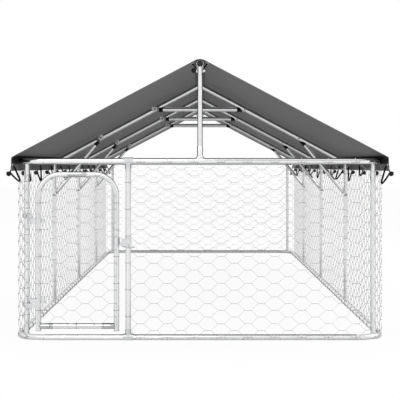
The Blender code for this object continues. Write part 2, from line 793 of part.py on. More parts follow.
def build_front_net():
    """The net from the door post to the right corner, notched round the tee clamps."""
    left = DOOR_POST_X + POST_R + GAP
    right = BEND_X - GAP
    step_x = DOOR_POST_X + TEE_LENGTH / 2 + GAP
    step = clear_radius(RAIL_R, TUBE_SIDES) + TEE_WALL + GAP
    outline = [
        (step_x, NET_BOTTOM_Z),
        (right, NET_BOTTOM_Z),
        (right, NET_TOP_Z),
        (step_x, NET_TOP_Z),
        (step_x, TOP_Z - step),
        (left, TOP_Z - step),
        (left, BOTTOM_Z + step),
        (step_x, BOTTOM_Z + step),
    ]
    region = rectangle(
        step_x + NET_BORDER, NET_BOTTOM_Z + NET_BORDER, right - NET_BORDER, NET_TOP_Z - NET_BORDER
    )
    gaps = net_gaps(region, NET_CELL_FINE)
    net = flat_outline("netting_front", outline, gaps, NET_THICKNESS, WIRE)
    net.matrix_world = facing((0, -HALF_LENGTH - NET_OFFSET, 0), (1, 0, 0), (0, 0, 1))


def build_corner_net(name, centre, start, end):
    """A net bent round a corner of the rails, from one angle to another in degrees.

    It is made flat, creased where the rails' bends are, and then folded round the corner.
    """
    steps = round((end - start) * CORNER_STEPS / 90)
    trim = math.degrees(GAP / CORNER_RADIUS)
    folds = arc(centre, CORNER_RADIUS + NET_OFFSET, start + trim, end - trim, steps)
    pitch = (Vector(folds[1]) - Vector(folds[0])).length
    border = rectangle(0.0, NET_BOTTOM_Z, pitch * steps, NET_TOP_Z)
    region = rectangle(
        NET_BORDER, NET_BOTTOM_Z + NET_BORDER, pitch * steps - NET_BORDER, NET_TOP_Z - NET_BORDER
    )
    gaps = net_gaps(region, NET_CELL_CORNER)
    net = as_mesh(flat_outline(name, border, gaps, NET_THICKNESS, WIRE))
    builder = bmesh.new()
    builder.from_mesh(net.data)
    for step in range(1, steps):
        parts = [*builder.verts, *builder.edges, *builder.faces]
        bmesh.ops.bisect_plane(
            builder, geom=parts, dist=1e-6, plane_co=(pitch * step, 0, 0), plane_no=(1, 0, 0)
        )
    lean = math.cos(math.radians((end - start - 2 * trim) / steps / 2))
    for vertex in builder.verts:
        along, z, depth = vertex.co
        step = min(int(along / pitch + 1e-4), steps - 1)
        share = along / pitch - step
        point = Vector(folds[step]).lerp(Vector(folds[step + 1]), share)
        middle = (Vector(folds[step]) + Vector(folds[step + 1])) / 2 - Vector(centre)
        outward = middle.normalized() * depth
        at_fold = abs(along / pitch - round(along / pitch)) < 1e-4
        if at_fold and 0 < round(along / pitch) < steps:
            fold = Vector(folds[round(along / pitch)])
            point = fold
            outward = (fold - Vector(centre)).normalized() * depth / lean
        vertex.co = (point.x + outward.x, point.y + outward.y, z)
    bmesh.ops.recalc_face_normals(builder, faces=builder.faces)
    builder.to_mesh(net.data)
    builder.free()
    return net


def build_nets():
    """The wall nets: four flat ones and one round each corner."""
    build_front_net()
    edge = BEND_X - GAP
    build_wall_net(
        "netting_back", -edge, edge, NET_CELL_COARSE, (0, HALF_LENGTH + NET_OFFSET, 0), (-1, 0, 0)
    )
    edge = BEND_Y - GAP
    reach = HALF_WIDTH + NET_OFFSET
    build_wall_net("netting_left", -edge, edge, NET_CELL_COARSE, (-reach, 0, 0), (0, -1, 0))
    build_wall_net("netting_right", -edge, edge, NET_CELL_COARSE, (reach, 0, 0), (0, 1, 0))
    build_corner_net("netting_corner_front_right", (BEND_X, -BEND_Y), -90, 0)
    build_corner_net("netting_corner_back_right", (BEND_X, BEND_Y), 0, 90)
    build_corner_net("netting_corner_back_left", (-BEND_X, BEND_Y), 90, 180)
    build_corner_net(
        "netting_corner_front_left", (-BEND_X, -BEND_Y), 180, 270 - NET_EDGE_ANGLE
    )


def strap_path(tube_radius, eye_radius, distance):
    """Path of a strap hinge leaf: ear, round a tube, round an eye, and back to the other ear.

    The eye is at the origin, the tube's centre at (distance, 0) and the ears beyond it.
    """
    ear = (EAR_GAP + STRAP_THICKNESS) / 2
    ear_angle = math.degrees(math.asin(ear / tube_radius))
    tangent = 90 + math.degrees(math.asin((tube_radius - eye_radius) / distance))
    steps = max(2, round(STRAP_STEPS * (tangent - ear_angle) / 180))
    upper = [(distance + tube_radius + EAR_LENGTH, ear)]
    upper += arc((distance, 0), tube_radius, ear_angle, tangent, steps)
    eye = arc((0, 0), eye_radius, tangent, 360 - tangent, STRAP_STEPS)
    lower = [(x, -y) for x, y in upper[::-1]]
    return upper + eye + lower


def band_path(tube_radius):
    """Path of a plain clamp band round a tube at the origin, with its ears along +X."""
    ear = (EAR_GAP + STRAP_THICKNESS) / 2
    ear_angle = math.degrees(math.asin(ear / tube_radius))
    band = arc((0, 0), tube_radius, ear_angle, 360 - ear_angle, 2 * STRAP_STEPS)
    tip = tube_radius + EAR_LENGTH
    return [(tip, ear), *band, (tip, -ear)]


def ear_bolt(name, centre, direction, tube_radius, z):
    """The bolt through a clamp's ears, whose direction runs out from the tube's centre."""
    along = Vector((*direction, 0)).normalized()
    across = Vector((-along.y, along.x, 0)) * (EAR_GAP + STRAP_THICKNESS) / 2
    middle = Vector((*centre, z)) + along * (tube_radius + EAR_LENGTH * 0.6)
    return bolt(name, middle - across, middle + across)


def build_hinge(label, z, strap_above):
    """A pintle clamp on the corner post, and a strap on the door that turns on its pin."""
    strap_sign = 1 if strap_above else -1
    offset = strap_sign * (STRAP_HEIGHT + HINGE_GAP) / 2
    pin = Vector((PIN_X, DOOR_Y))
    steps = 2 * STRAP_STEPS
    eye_radius = clear_radius(PIN_R, steps, PIN_CLEARANCE) + STRAP_THICKNESS / 2

    stile_radius = clear_radius(DOOR_R, steps) + STRAP_THICKNESS / 2
    path = strap_path(stile_radius, eye_radius, PIN_OFFSET)
    strap = bent_bar(f"hinge_strap_{label}", path, STRAP_THICKNESS, STRAP_HEIGHT, ZINC)
    strap.location = (*pin, z + offset)
    strap = as_mesh(strap)
    stile = (DOOR_LEFT_X, DOOR_Y)
    ears = ear_bolt(f"hinge_strap_bolt_{label}", stile, (1, 0), stile_radius, z + offset)
    combine(strap, ears, "UNION")
    smooth(strap)

    post = Vector((CORNER_POST_INSET - HALF_WIDTH, CORNER_POST_INSET - HALF_LENGTH))
    away = post - pin
    post_radius = clear_radius(POST_R, steps) + STRAP_THICKNESS / 2
    head_radius = PIN_R
    path = strap_path(post_radius, head_radius, away.length)
    clamp = bent_bar(f"hinge_pintle_{label}", path, STRAP_THICKNESS, STRAP_HEIGHT, ZINC)
    across = (*away.normalized(), 0)
    up = (-across[1], across[0], 0)
    clamp.matrix_world = facing((*pin, z - offset), across, up)
    clamp = as_mesh(clamp)
    back = z - offset - strap_sign * (STRAP_HEIGHT / 2 + PIN_REACH / 2)
    tip = z + offset + strap_sign * (STRAP_HEIGHT / 2 + PIN_REACH)
    pintle = round_bar(f"hinge_pin_{label}", (*pin, back), (*pin, tip), PIN_R, ZINC)
    combine(clamp, pintle, "UNION")
    ears = ear_bolt(f"hinge_pintle_bolt_{label}", post, across[:2], post_radius, z - offset)
    combine(clamp, ears, "UNION")
    smooth(clamp)
    return strap, clamp


def door_outline(inset, foot_z, top_rise):
    """Outline of the door from its tube axes, drawn in at the sides and raised at the top."""
    left, right = DOOR_LEFT_X + inset, DOOR_RIGHT_X - inset
    wide = DOOR_CORNER_RADIUS - inset
    tall = DOOR_CORNER_RADIUS + top_rise
    spring_z = DOOR_TOP_Z - DOOR_CORNER_RADIUS
    quarter = arc((0, 0), 1.0, 0, 90, CORNER_STEPS)
    right_arch = [(right - wide + wide * x, spring_z + tall * y) for x, y in quarter]
    left_arch = [(left + wide - wide * x, spring_z + tall * y) for x, y in quarter[::-1]]
    return [(left, foot_z), (right, foot_z), *right_arch, *left_arch]


def build_door():
    """The door: an arched tube, a cross tube near its foot and its own net."""
    outline = door_outline(0.0, DOOR_FOOT_Z, 0.0)
    path = [(x, 0.0, z) for x, z in outline[1:] + outline[:1]]
    frame = tube("door_frame", path, DOOR_R, (0, DOOR_Y, 0))
    left = DOOR_LEFT_X + DOOR_R + GAP
    right = DOOR_RIGHT_X - DOOR_R - GAP
    sleeve = DOOR_R + CROSS_SLEEVE_WALL
    stations = [
        (left, 0.0),
        (left, sleeve),
        (left + CROSS_SLEEVE_LENGTH, sleeve),
        (left + CROSS_SLEEVE_LENGTH, DOOR_R),
        (right - CROSS_SLEEVE_LENGTH, DOOR_R),
        (right - CROSS_SLEEVE_LENGTH, sleeve),
        (right, sleeve),
        (right, 0.0),
    ]
    profile = [(Vector((x, DOOR_Y, CROSS_Z)), radius) for x, radius in stations]
    cross = smooth(turned("door_cross_tube", profile, GALVANISED, TUBE_SIDES))

    strap_radius = clear_radius(DOOR_R, 2 * STRAP_STEPS) + STRAP_THICKNESS
    front = sleeve + GAP
    inset = strap_radius + GAP
    outline = door_outline(inset, CROSS_Z, -DOOR_R / 2)
    region = door_outline(inset + NET_BORDER, CROSS_Z + NET_BORDER, -DOOR_R / 2 - NET_BORDER)
    gaps = net_gaps(region, NET_CELL_FINE)
    net = flat_outline("netting_door", outline, gaps, NET_THICKNESS, WIRE)
    y = DOOR_Y - front - NET_THICKNESS / 2
    net.matrix_world = facing((0, y, 0), (1, 0, 0), (0, 0, 1))
    return [frame, cross, net]


def build_latch_bracket():
    """A clamp on the door's right tube, whose ear bolt runs forward as the latch's pivot."""
    radius = clear_radius(DOOR_R, 2 * STRAP_STEPS) + STRAP_THICKNESS / 2
    z = LATCH_PIVOT_Z + LATCH_BAND_HEIGHT / 2 - LATCH_EYE_RADIUS / 2
    bracket = bent_bar("latch_bracket", band_path(radius), STRAP_THICKNESS, LATCH_BAND_HEIGHT, ZINC)
    bracket.location = (DOOR_RIGHT_X, DOOR_Y, z)
    bracket = as_mesh(bracket)
    back = DOOR_Y + (EAR_GAP + STRAP_THICKNESS) / 2
    front = latch_plate_y() - LATCH_PLATE_THICKNESS / 2 - GAP
    x = DOOR_RIGHT_X + LATCH_PIVOT_OFFSET
    pivot = bolt("latch_pivot", (x, front, LATCH_PIVOT_Z), (x, back, LATCH_PIVOT_Z))
    low = (DOOR_RIGHT_X + radius + STRAP_THICKNESS, back - 2 * EAR_LENGTH, LATCH_PIVOT_Z + LATCH_EYE_RADIUS)
    high = (x + 2 * EAR_LENGTH, back + EAR_LENGTH, z + LATCH_BAND_HEIGHT)
    combine(bracket, block("latch_ear_cut", low, high, ZINC), "DIFFERENCE")
    combine(bracket, pivot, "UNION")
    return smooth(bracket)


def latch_plate_y():
    """Middle plane of the latch plate, in front of the net and of the keeper."""
    return DOOR_Y - RAIL_R - LATCH_PLATE_STANDOFF - LATCH_PLATE_THICKNESS / 2


def build_latch_plate():
    """The lifting plate: an eye, a notch with round walls over the lug, and a finger end."""
    pivot_x = DOOR_RIGHT_X + LATCH_PIVOT_OFFSET
    lug_near = DOOR_POST_X - LUG_THICKNESS / 2 - pivot_x
    lug_far = lug_near + LUG_THICKNESS
    left = LATCH_PLATE_LEFT
    right = left + LATCH_PLATE_WIDTH
    low = -LATCH_PLATE_DROP
    inner = math.hypot(lug_near, LUG_TOP_DROP) - 2 * LUG_CLEARANCE
    outer = math.hypot(lug_far, LUG_TOP_DROP + LUG_HEIGHT) + LUG_CLEARANCE
    notch_top = -LUG_TOP_DROP + 2 * LUG_CLEARANCE
    inner_wall = wall_points(inner, low, notch_top)
    outer_wall = wall_points(outer, low, notch_top)
    finger_low = low + LATCH_FINGER_LIFT
    outline = arc((0, 0), LATCH_EYE_RADIUS, 75, 255, 8)
    outline += [(left + LATCH_EYE_RADIUS, low)]
    outline += inner_wall + outer_wall[::-1]
    outline += [
        (right, low),
        (right + LATCH_FINGER_REACH * 0.6, low + LATCH_FINGER_HEIGHT * 0.2),
        (right + LATCH_FINGER_REACH, finger_low),
        (right + LATCH_FINGER_REACH * 0.75, finger_low + LATCH_FINGER_HEIGHT * 0.6),
        (right + LATCH_FINGER_REACH * 0.4, low + LATCH_FINGER_HEIGHT * 1.1),
        (right, low + LATCH_FINGER_HEIGHT),
        (right, LATCH_PLATE_RISE),
        (left - LATCH_EYE_RADIUS / 4, LATCH_PLATE_RISE),
    ]
    hole = arc((0, 0), clear_radius(BOLT_DIAMETER / 2, 10, LATCH_EYE_CLEARANCE), 0, 324, 9)
    plate = flat_outline("latch_plate", outline, [hole], LATCH_PLATE_THICKNESS, ZINC)
    place = (pivot_x, latch_plate_y(), LATCH_PIVOT_Z)
    plate.matrix_world = facing(place, (1, 0, 0), (0, 0, 1))
    return plate


def wall_points(radius, low, high):
    """Points of a notch wall on a circle round the latch pivot, from one height to another."""
    angles = [math.degrees(math.asin(z / radius)) for z in (low, high)]
    return arc((0, 0), radius, *angles, 3)


def build_latch_keeper():
    """A clamp on the door post with a lug that stands out through the latch plate's notch."""
    radius = clear_radius(POST_R, 2 * STRAP_STEPS) + STRAP_THICKNESS / 2
    z = LATCH_PIVOT_Z + (LATCH_PLATE_RISE - LATCH_PLATE_DROP) / 2
    height = LATCH_PLATE_RISE + LATCH_PLATE_DROP
    keeper = bent_bar("latch_keeper", band_path(radius), STRAP_THICKNESS, height, ZINC)
    keeper.matrix_world = facing((DOOR_POST_X, DOOR_Y, z), (0, 1, 0), (-1, 0, 0))
    keeper = as_mesh(keeper)
    centre = (DOOR_POST_X, DOOR_Y)
    combine(keeper, ear_bolt("latch_keeper_bolt", centre, (0, 1), radius, z), "UNION")
    plate_front = latch_plate_y() - LATCH_PLATE_THICKNESS / 2
    tip = plate_front - LUG_REACH
    root = DOOR_Y - radius
    top = LATCH_PIVOT_Z - LUG_TOP_DROP
    round_r = LUG_HEIGHT / 4
    outline = [(root, top - LUG_HEIGHT), (root, top)]
    outline += arc((tip + round_r, top - round_r), round_r, 90, 180, 3)
    outline += arc((tip + round_r, top - LUG_HEIGHT + round_r), round_r, 180, 270, 3)
    hole_at = (plate_front - LUG_REACH / 2, top - LUG_HEIGHT / 2)
    hole = arc(hole_at, LUG_HOLE_DIAMETER / 2, 0, 330, 11)
    lug = flat_outline("latch_lug", outline, [hole], LUG_THICKNESS, ZINC)
    lug.matrix_world = facing((DOOR_POST_X, 0, 0), (0, 1, 0), (0, 0, 1))
    combine(keeper, as_mesh(lug), "UNION")
    return smooth(keeper)


def joint_axis(name, location):
    """An empty on a joint's axis, which its moving pieces hang from."""
    axis = bpy.data.objects.new(name, None)
    PARTS.objects.link(axis)
    axis.location = location
    axis.empty_display_size = 0.05
    return axis


def hang(pieces, axis):
    """Parent pieces to a joint's axis without moving them."""
    bpy.context.view_layer.update()
    for piece in pieces:
        place = piece.matrix_world.copy()
        piece.parent = axis
        piece.matrix_parent_inverse = axis.matrix_world.inverted()
        piece.matrix_world = place


def main():
    """Build the whole kennel and hang the moving pieces on their axes."""
    build_rails()
    build_posts()
    build_tee_clamp("door_post_clamp_top", TOP_Z, -1)
    build_tee_clamp("door_post_clamp_bottom", BOTTOM_Z, 1)
    for end, sign in (("front", -1), ("back", 1)):
        build_king_post(end, sign)
        build_ridge_clamp(end, sign)
    build_rafters()
    build_collar_ties()
    build_knee_braces()
    build_roof()
    build_nets()
    door = build_door()
    upper_strap, _ = build_hinge("upper", UPPER_HINGE_Z, strap_above=False)
    lower_strap, _ = build_hinge("lower", LOWER_HINGE_Z, strap_above=True)
    door += [upper_strap, lower_strap, build_latch_bracket()]
    plate = build_latch_plate()
    build_latch_keeper()
    door_axis = joint_axis("door_axis", (PIN_X, DOOR_Y, UPPER_HINGE_Z))
    pivot = (DOOR_RIGHT_X + LATCH_PIVOT_OFFSET, latch_plate_y(), LATCH_PIVOT_Z)
    latch_axis = joint_axis("latch_axis", pivot)
    hang([*door, latch_axis], door_axis)
    hang([plate], latch_axis)


main()
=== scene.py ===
"""Walk-in dog kennel: galvanised tube frame, wire netting, arched tube door and a stretched roof sheet.

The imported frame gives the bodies. Each class below builds one sub-assembly over it, in metres, with
+Z up and the door end towards -Y.
"""

import json
import logging
import math
from dataclasses import dataclass, field
from enum import Enum
from typing import Any, Callable, Iterable, Optional, Sequence

import bmesh
import bpy
from mathutils import Matrix, Vector, noise

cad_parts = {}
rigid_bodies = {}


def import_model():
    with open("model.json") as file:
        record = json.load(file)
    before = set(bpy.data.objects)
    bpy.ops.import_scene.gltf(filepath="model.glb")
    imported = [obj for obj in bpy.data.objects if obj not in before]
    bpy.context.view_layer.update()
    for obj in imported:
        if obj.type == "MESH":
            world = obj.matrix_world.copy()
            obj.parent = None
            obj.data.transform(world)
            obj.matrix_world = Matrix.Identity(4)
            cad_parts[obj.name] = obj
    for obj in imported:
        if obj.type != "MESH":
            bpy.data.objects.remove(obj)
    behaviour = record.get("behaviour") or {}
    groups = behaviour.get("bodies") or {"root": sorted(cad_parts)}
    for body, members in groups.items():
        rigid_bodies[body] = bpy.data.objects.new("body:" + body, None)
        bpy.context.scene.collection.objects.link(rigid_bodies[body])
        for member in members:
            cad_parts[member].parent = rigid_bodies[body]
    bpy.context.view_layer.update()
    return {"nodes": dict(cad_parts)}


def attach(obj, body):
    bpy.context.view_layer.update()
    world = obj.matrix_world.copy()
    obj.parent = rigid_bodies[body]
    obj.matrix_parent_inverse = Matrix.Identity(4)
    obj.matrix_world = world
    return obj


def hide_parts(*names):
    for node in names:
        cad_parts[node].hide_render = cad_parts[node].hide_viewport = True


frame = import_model()

LOG = logging.getLogger("dog_kennel")
Point = tuple[float, float, float]
Path = list[Point]
Lay = Callable[[float, float, float], Point]
Border = Callable[[float, float], float]

X_AXIS, Y_AXIS, Z_AXIS = Vector((1, 0, 0)), Vector((0, 1, 0)), Vector((0, 0, 1))
# The kennel's sides and ends, each with the sign of its place across or along
SIDES = (("left", -1), ("right", 1))
ENDS = (("front", -1), ("back", 1))


class Body(str, Enum):
    """The rigid bodies of the kennel."""

    KENNEL = "kennel"
    DOOR = "door"
    LATCH = "latch"


class Slot(str, Enum):
    """The record's material slots."""

    TUBE = "galvanised_tube"
    ZINC = "zinc_hardware"
    WIRE = "netting_wire"
    SHEET = "roof_sheet"


class Axis(Enum):
    """The axis that a lathe piece stands along, with the turn that brings +Z there."""

    X = (math.pi / 2, "Y")
    Y = (-math.pi / 2, "X")
    Z = (0.0, "Z")


# Shader maths and finishes


class Signal:
    """A number that runs through a material, with Python's own operators.

    Args:
        bench: The material that the number belongs to.
        socket: The output socket that carries it.
    """

    def __init__(self, bench: "NodeBench", socket: bpy.types.NodeSocket) -> None:
        """Keep the material and the socket."""
        self.bench = bench
        self.socket = socket

    def _maths(self, operation: str, *values: Any) -> "Signal":
        """Add a Math node.

        Args:
            operation: The node's operation.
            values: Signals or plain numbers, in the order of its sockets.

        Returns:
            The node's result.
        """
        node = self.bench.add("ShaderNodeMath", {"operation": operation}, dict(enumerate(values)))
        return Signal(self.bench, node.outputs[0])

    def __add__(self, other: Any) -> "Signal":
        """Sum."""
        return self._maths("ADD", self, other)

    __radd__ = __add__

    def __sub__(self, other: Any) -> "Signal":
        """Difference."""
        return self._maths("SUBTRACT", self, other)

    def __rsub__(self, other: Any) -> "Signal":
        """Difference from a plain number."""
        return self._maths("SUBTRACT", other, self)

    def __mul__(self, other: Any) -> "Signal":
        """Product."""
        return self._maths("MULTIPLY", self, other)

    __rmul__ = __mul__

    def larger(self, other: Any) -> "Signal":
        """The larger of two values."""
        return self._maths("MAXIMUM", self, other)

    def wave(self) -> "Signal":
        """Sine of the value in radians."""
        return self._maths("SINE", self)


def add_node(
    tree: bpy.types.NodeTree,
    kind: str,
    settings: Optional[dict[str, Any]] = None,
    sockets: Optional[dict[Any, Any]] = None,
) -> bpy.types.Node:
    """Add a node to a tree.

    Args:
        tree: The node tree.
        kind: The node's type.
        settings: Its properties, and "stops" for a colour ramp.
        sockets: Values, links or signals for its inputs, by name or number.

    Returns:
        The node.
    """
    node = tree.nodes.new(kind)
    for key, value in (settings or {}).items():
        if key == "stops":
            elements = node.color_ramp.elements
            while len(elements) < len(value):
                elements.new(0.5)
            for element, (place, colour) in zip(elements, value):
                element.position = place
                element.color = (*colour, 1.0)
        else:
            setattr(node, key, value)
    for key, value in (sockets or {}).items():
        if isinstance(value, Signal):
            value = value.socket
        if isinstance(value, bpy.types.NodeSocket):
            tree.links.new(value, node.inputs[key])
        else:
            node.inputs[key].default_value = value
    return node


class NodeBench:
    """A new material and the ways to put nodes in it."""

    def __init__(self, name: str) -> None:
        """Start an empty node tree with an output.

        Args:
            name: The material's name.
        """
        self.material = bpy.data.materials.new(name)
        self.material.use_nodes = True
        self.tree = self.material.node_tree
        self.tree.nodes.clear()
        self.output = self.add("ShaderNodeOutputMaterial")

    def add(self, kind: str, *options: Any) -> bpy.types.Node:
        """Add a node, with the settings and sockets that add_node takes."""
        return add_node(self.tree, kind, *options)

    def noise(self, scale: float, detail: float = 3.0, stretch: Point = (1.0, 1.0, 1.0)) -> Signal:
        """Noise on object coordinates.

        Args:
            scale: Grains for each metre.
            detail: Octaves.
            stretch: Scale along each axis.

        Returns:
            The noise, from 0 to 1.
        """
        place = self.add("ShaderNodeTexCoord").outputs["Object"]
        turned = self.add("ShaderNodeMapping", None, {"Vector": place, "Scale": stretch})
        grains = self.add(
            "ShaderNodeTexNoise",
            None,
            {"Vector": turned.outputs[0], "Scale": scale, "Detail": detail, "Roughness": 0.55},
        )
        return Signal(self, grains.outputs[0])

    def ramp(self, signal: Signal, stops: Sequence[tuple[float, Point]]) -> bpy.types.NodeSocket:
        """Colours for a signal.

        Args:
            signal: The value that is coloured.
            stops: Pairs of a value and its colour.

        Returns:
            The colour socket.
        """
        return self.add("ShaderNodeValToRGB", {"stops": stops}, {"Fac": signal}).outputs["Color"]

    def bump(self, height: Signal, strength: float, distance: float) -> bpy.types.NodeSocket:
        """A Bump node for a height.

        Args:
            height: The height signal.
            strength: How strongly it shows.
            distance: Its depth in metres.

        Returns:
            The normal socket.
        """
        node = self.add(
            "ShaderNodeBump", None, {"Strength": strength, "Distance": distance, "Height": height}
        )
        return node.outputs[0]

    def finish(self, **sockets: Any) -> bpy.types.Material:
        """Close the material with a Principled shader.

        Args:
            sockets: The shader's inputs, with underscores for spaces.

        Returns:
            The material.
        """
        named = {key.replace("_", " "): value for key, value in sockets.items()}
        shader = self.add("ShaderNodeBsdfPrincipled", None, named)
        self.tree.links.new(shader.outputs[0], self.output.inputs[0])
        return self.material


@dataclass(frozen=True)
class Galvanised:
    """Hot-dipped or plated steel, pale with a faint spangle.

    Args:
        name: The material's name.
        dull: Colour of the duller grains.
        bright: Colour of the brighter grains.
        metallic: How metallic it is.
        roughness: Its mean roughness.
        grain: Spangle grains for each metre.
        relief: Depth of its relief in metres.
        edge: Tint of its reflections at grazing angles; low values darken the edges, painted shade.
    """

    name: str
    dull: Point
    bright: Point
    metallic: float
    roughness: float
    grain: float
    relief: float
    edge: float = 0.6

    def build(self) -> bpy.types.Material:
        """Make the material.

        Returns:
            The material.
        """
        bench = NodeBench(self.name)
        spangle = bench.noise(self.grain, 4.0)
        cloud = bench.noise(self.grain / 9, 2.0)
        shade = spangle * 0.55 + cloud * 0.45
        colour = bench.ramp(shade, [(0.34, self.dull), (0.66, self.bright)])
        roughness = self.roughness + (cloud - 0.5) * 0.12
        return bench.finish(
            Base_Color=colour,
            Metallic=self.metallic,
            Roughness=roughness,
            Specular_Tint=(self.edge, self.edge, self.edge, 1.0),
            Normal=bench.bump(spangle, 0.25, self.relief),
        )


@dataclass(frozen=True)
class WovenSheet:
    """Coated woven sheet, with the ribs of its tapes and soft creases, on the sheet's own map.

    Args:
        name: The material's name.
        deep: Colour between the tapes.
        face: Colour of the tapes.
        tapes: Tapes for each metre.
        roughness: Its mean roughness.
    """

    name: str
    deep: Point
    face: Point
    tapes: float
    roughness: float

    def build(self) -> bpy.types.Material:
        """Make the material.

        Returns:
            The material.
        """
        bench = NodeBench(self.name)
        place = bench.add("ShaderNodeUVMap", {"uv_map": "weave"}).outputs[0]
        parts = bench.add("ShaderNodeSeparateXYZ", None, {0: place}).outputs
        turn = 2 * math.pi * self.tapes
        across = (Signal(bench, parts[0]) * turn).wave()
        along = (Signal(bench, parts[1]) * turn).wave()
        weave = across * along * 0.5 + 0.5
        cloud = bench.noise(2.2, 4.0, (1.0, 0.6, 1.0))
        crease = bench.noise(9.0, 3.0, (1.0, 2.4, 1.0))
        shade = weave * 0.35 + cloud * 0.65
        colour = bench.ramp(shade, [(0.25, self.deep), (0.75, self.face)])
        roughness = self.roughness + (cloud - 0.5) * 0.2
        normal = bench.bump(weave * 0.12 + crease * 0.88, 0.35, 0.004)
        return bench.finish(
            Base_Color=colour, Roughness=roughness, Normal=normal, Specular_IOR_Level=0.35
        )


@dataclass(frozen=True)
class Moulded:
    """Moulded plastic or rubber with a fine grain.

    Args:
        name: The material's name.
        colour: Its colour.
        roughness: Its mean roughness.
        grain: Grains for each metre.
        gloss: Strength of its sheen.
    """

    name: str
    colour: Point
    roughness: float
    grain: float
    gloss: float = 0.2

    def build(self) -> bpy.types.Material:
        """Make the material.

        Returns:
            The material.
        """
        bench = NodeBench(self.name)
        grains = bench.noise(self.grain, 3.0)
        lighter = tuple(min(1.0, c * 1.5 + 0.006) for c in self.colour)
        colour = bench.ramp(grains, [(0.3, self.colour), (0.8, lighter)])
        roughness = self.roughness + (grains - 0.5) * 0.12
        normal = bench.bump(grains, 0.2, 0.0004)
        return bench.finish(
            Base_Color=colour, Roughness=roughness, Normal=normal, Specular_IOR_Level=self.gloss
        )


@dataclass(frozen=True)
class BraidedCord:
    """Elastic cord with a braided cover.

    Args:
        name: The material's name.
        deep: Colour between the strands.
        face: Colour of the strands.
    """

    name: str
    deep: Point
    face: Point

    def build(self) -> bpy.types.Material:
        """Make the material.

        Returns:
            The material.
        """
        bench = NodeBench(self.name)
        crossing = bench.noise(900.0, 2.0)
        strands = bench.noise(420.0, 2.0, (1.0, 1.0, 1.6))
        braid = crossing * 0.5 + strands * 0.5
        colour = bench.ramp(braid, [(0.35, self.deep), (0.65, self.face)])
        normal = bench.bump(braid, 0.4, 0.0005)
        roughness = 0.7 + (braid - 0.5) * 0.1
        return bench.finish(
            Base_Color=colour, Roughness=roughness, Normal=normal, Specular_IOR_Level=0.03
        )


class Finish(Enum):
    """Every finish on the kennel."""

    # TUBE, RUN, POST and ELBOW are copies of one galvanised tube whose colour and edge tint differ by place
    # to match the light and shade there: painted light and shade. TUBE's low edge tint paints dark edges.
    TUBE = Galvanised(
        "tube_zinc", (0.76, 0.765, 0.77), (0.89, 0.895, 0.90), 1.0, 0.11, 260.0, 0.00010, 0.05
    )
    RUN = Galvanised(
        "long_tube_zinc", (0.78, 0.785, 0.79), (0.90, 0.905, 0.91), 1.0, 0.20, 260.0, 0.00012, 0.85
    )
    POST = Galvanised(
        "post_zinc", (0.76, 0.765, 0.77), (0.86, 0.865, 0.87), 0.85, 0.26, 260.0, 0.00012, 0.35
    )
    ELBOW = Galvanised(
        "elbow_zinc", (0.74, 0.745, 0.75), (0.86, 0.865, 0.87), 0.85, 0.26, 260.0, 0.00012, 0.55
    )
    # The bottom side rails' copy of the tube is near-white and fully mirroring: painted light.
    LIT_FLOOR_RUN = Galvanised(
        "floor_rail_painted_light", (0.90, 0.90, 0.90), (0.97, 0.97, 0.97), 1.0, 0.14, 260.0, 0.00004, 1.0
    )
    SLEEVE = Galvanised(
        "sleeve_steel", (0.46, 0.465, 0.47), (0.60, 0.605, 0.61), 1.0, 0.22, 400.0, 0.00012, 0.15
    )
    HARDWARE = Galvanised(
        "plated_hardware", (0.60, 0.61, 0.62), (0.82, 0.83, 0.84), 1.0, 0.24, 700.0, 0.0002, 0.3
    )
    PLATE = Galvanised(
        "plated_tongue", (0.74, 0.74, 0.75), (0.88, 0.88, 0.89), 0.35, 0.42, 700.0, 0.0002, 0.3
    )
    BOLT = Galvanised(
        "plated_bolt", (0.26, 0.26, 0.27), (0.42, 0.42, 0.43), 1.0, 0.30, 900.0, 0.0002, 0.3
    )
    WIRE = Galvanised(
        "netting_wire_zinc", (0.40, 0.40, 0.41), (0.56, 0.56, 0.57), 0.75, 0.40, 500.0, 0.0001
    )
    # The side and far corner nets take a near-black copy of the netting wire: painted shade.
    SHADED_NET_WIRE = Galvanised(
        "side_wire_zinc", (0.05, 0.05, 0.052), (0.10, 0.10, 0.105), 0.75, 0.40, 500.0, 0.0001, 0.1
    )
    # A dark copy of the tie wire: painted shade. The pale ties take the PLATE finish: painted light.
    SHADED_TIE = Galvanised("tie_wire", (0.16, 0.16, 0.16), (0.28, 0.28, 0.28), 0.75, 0.40, 500.0, 0.0001)
    SHEET = WovenSheet("roof_sheet_weave", (0.097, 0.097, 0.100), (0.167, 0.167, 0.172), 420.0, 0.62)
    # Near-black bands inside the eave folds: painted shade.
    SHADE_BAND = WovenSheet("painted_eave_shade", (0.006, 0.006, 0.006), (0.014, 0.014, 0.014), 620.0, 0.85)
    BALL = Moulded("bungee_ball_plastic", (0.009, 0.009, 0.009), 0.34, 600.0, 0.1)
    CAP = Moulded("ridge_cap_plastic", (0.018, 0.018, 0.018), 0.5, 500.0, 0.2)
    # The necks at the tie ends and brace heads take this near-black finish: painted shade at the joints.
    SHADE_NECK = Moulded("neck_painted_shade", (0.004, 0.004, 0.004), 0.5, 500.0, 0.1)
    CORD = BraidedCord("bungee_cord_braid", (0.001, 0.001, 0.001), (0.004, 0.004, 0.004))
    GROMMET = Galvanised(
        "grommet_metal", (0.70, 0.70, 0.70), (0.88, 0.88, 0.88), 1.0, 0.25, 800.0, 0.0001
    )


class Palette:
    """Builds each finish once, when it is first asked for."""

    def __init__(self) -> None:
        """Start with none built."""
        self.built: dict[Finish, bpy.types.Material] = {}

    def get(self, finish: Finish) -> bpy.types.Material:
        """Give a finish's material.

        Args:
            finish: The finish.

        Returns:
            Its material.
        """
        if finish not in self.built:
            self.built[finish] = finish.value.build()
        return self.built[finish]


PALETTE = Palette()


# Geometry tools


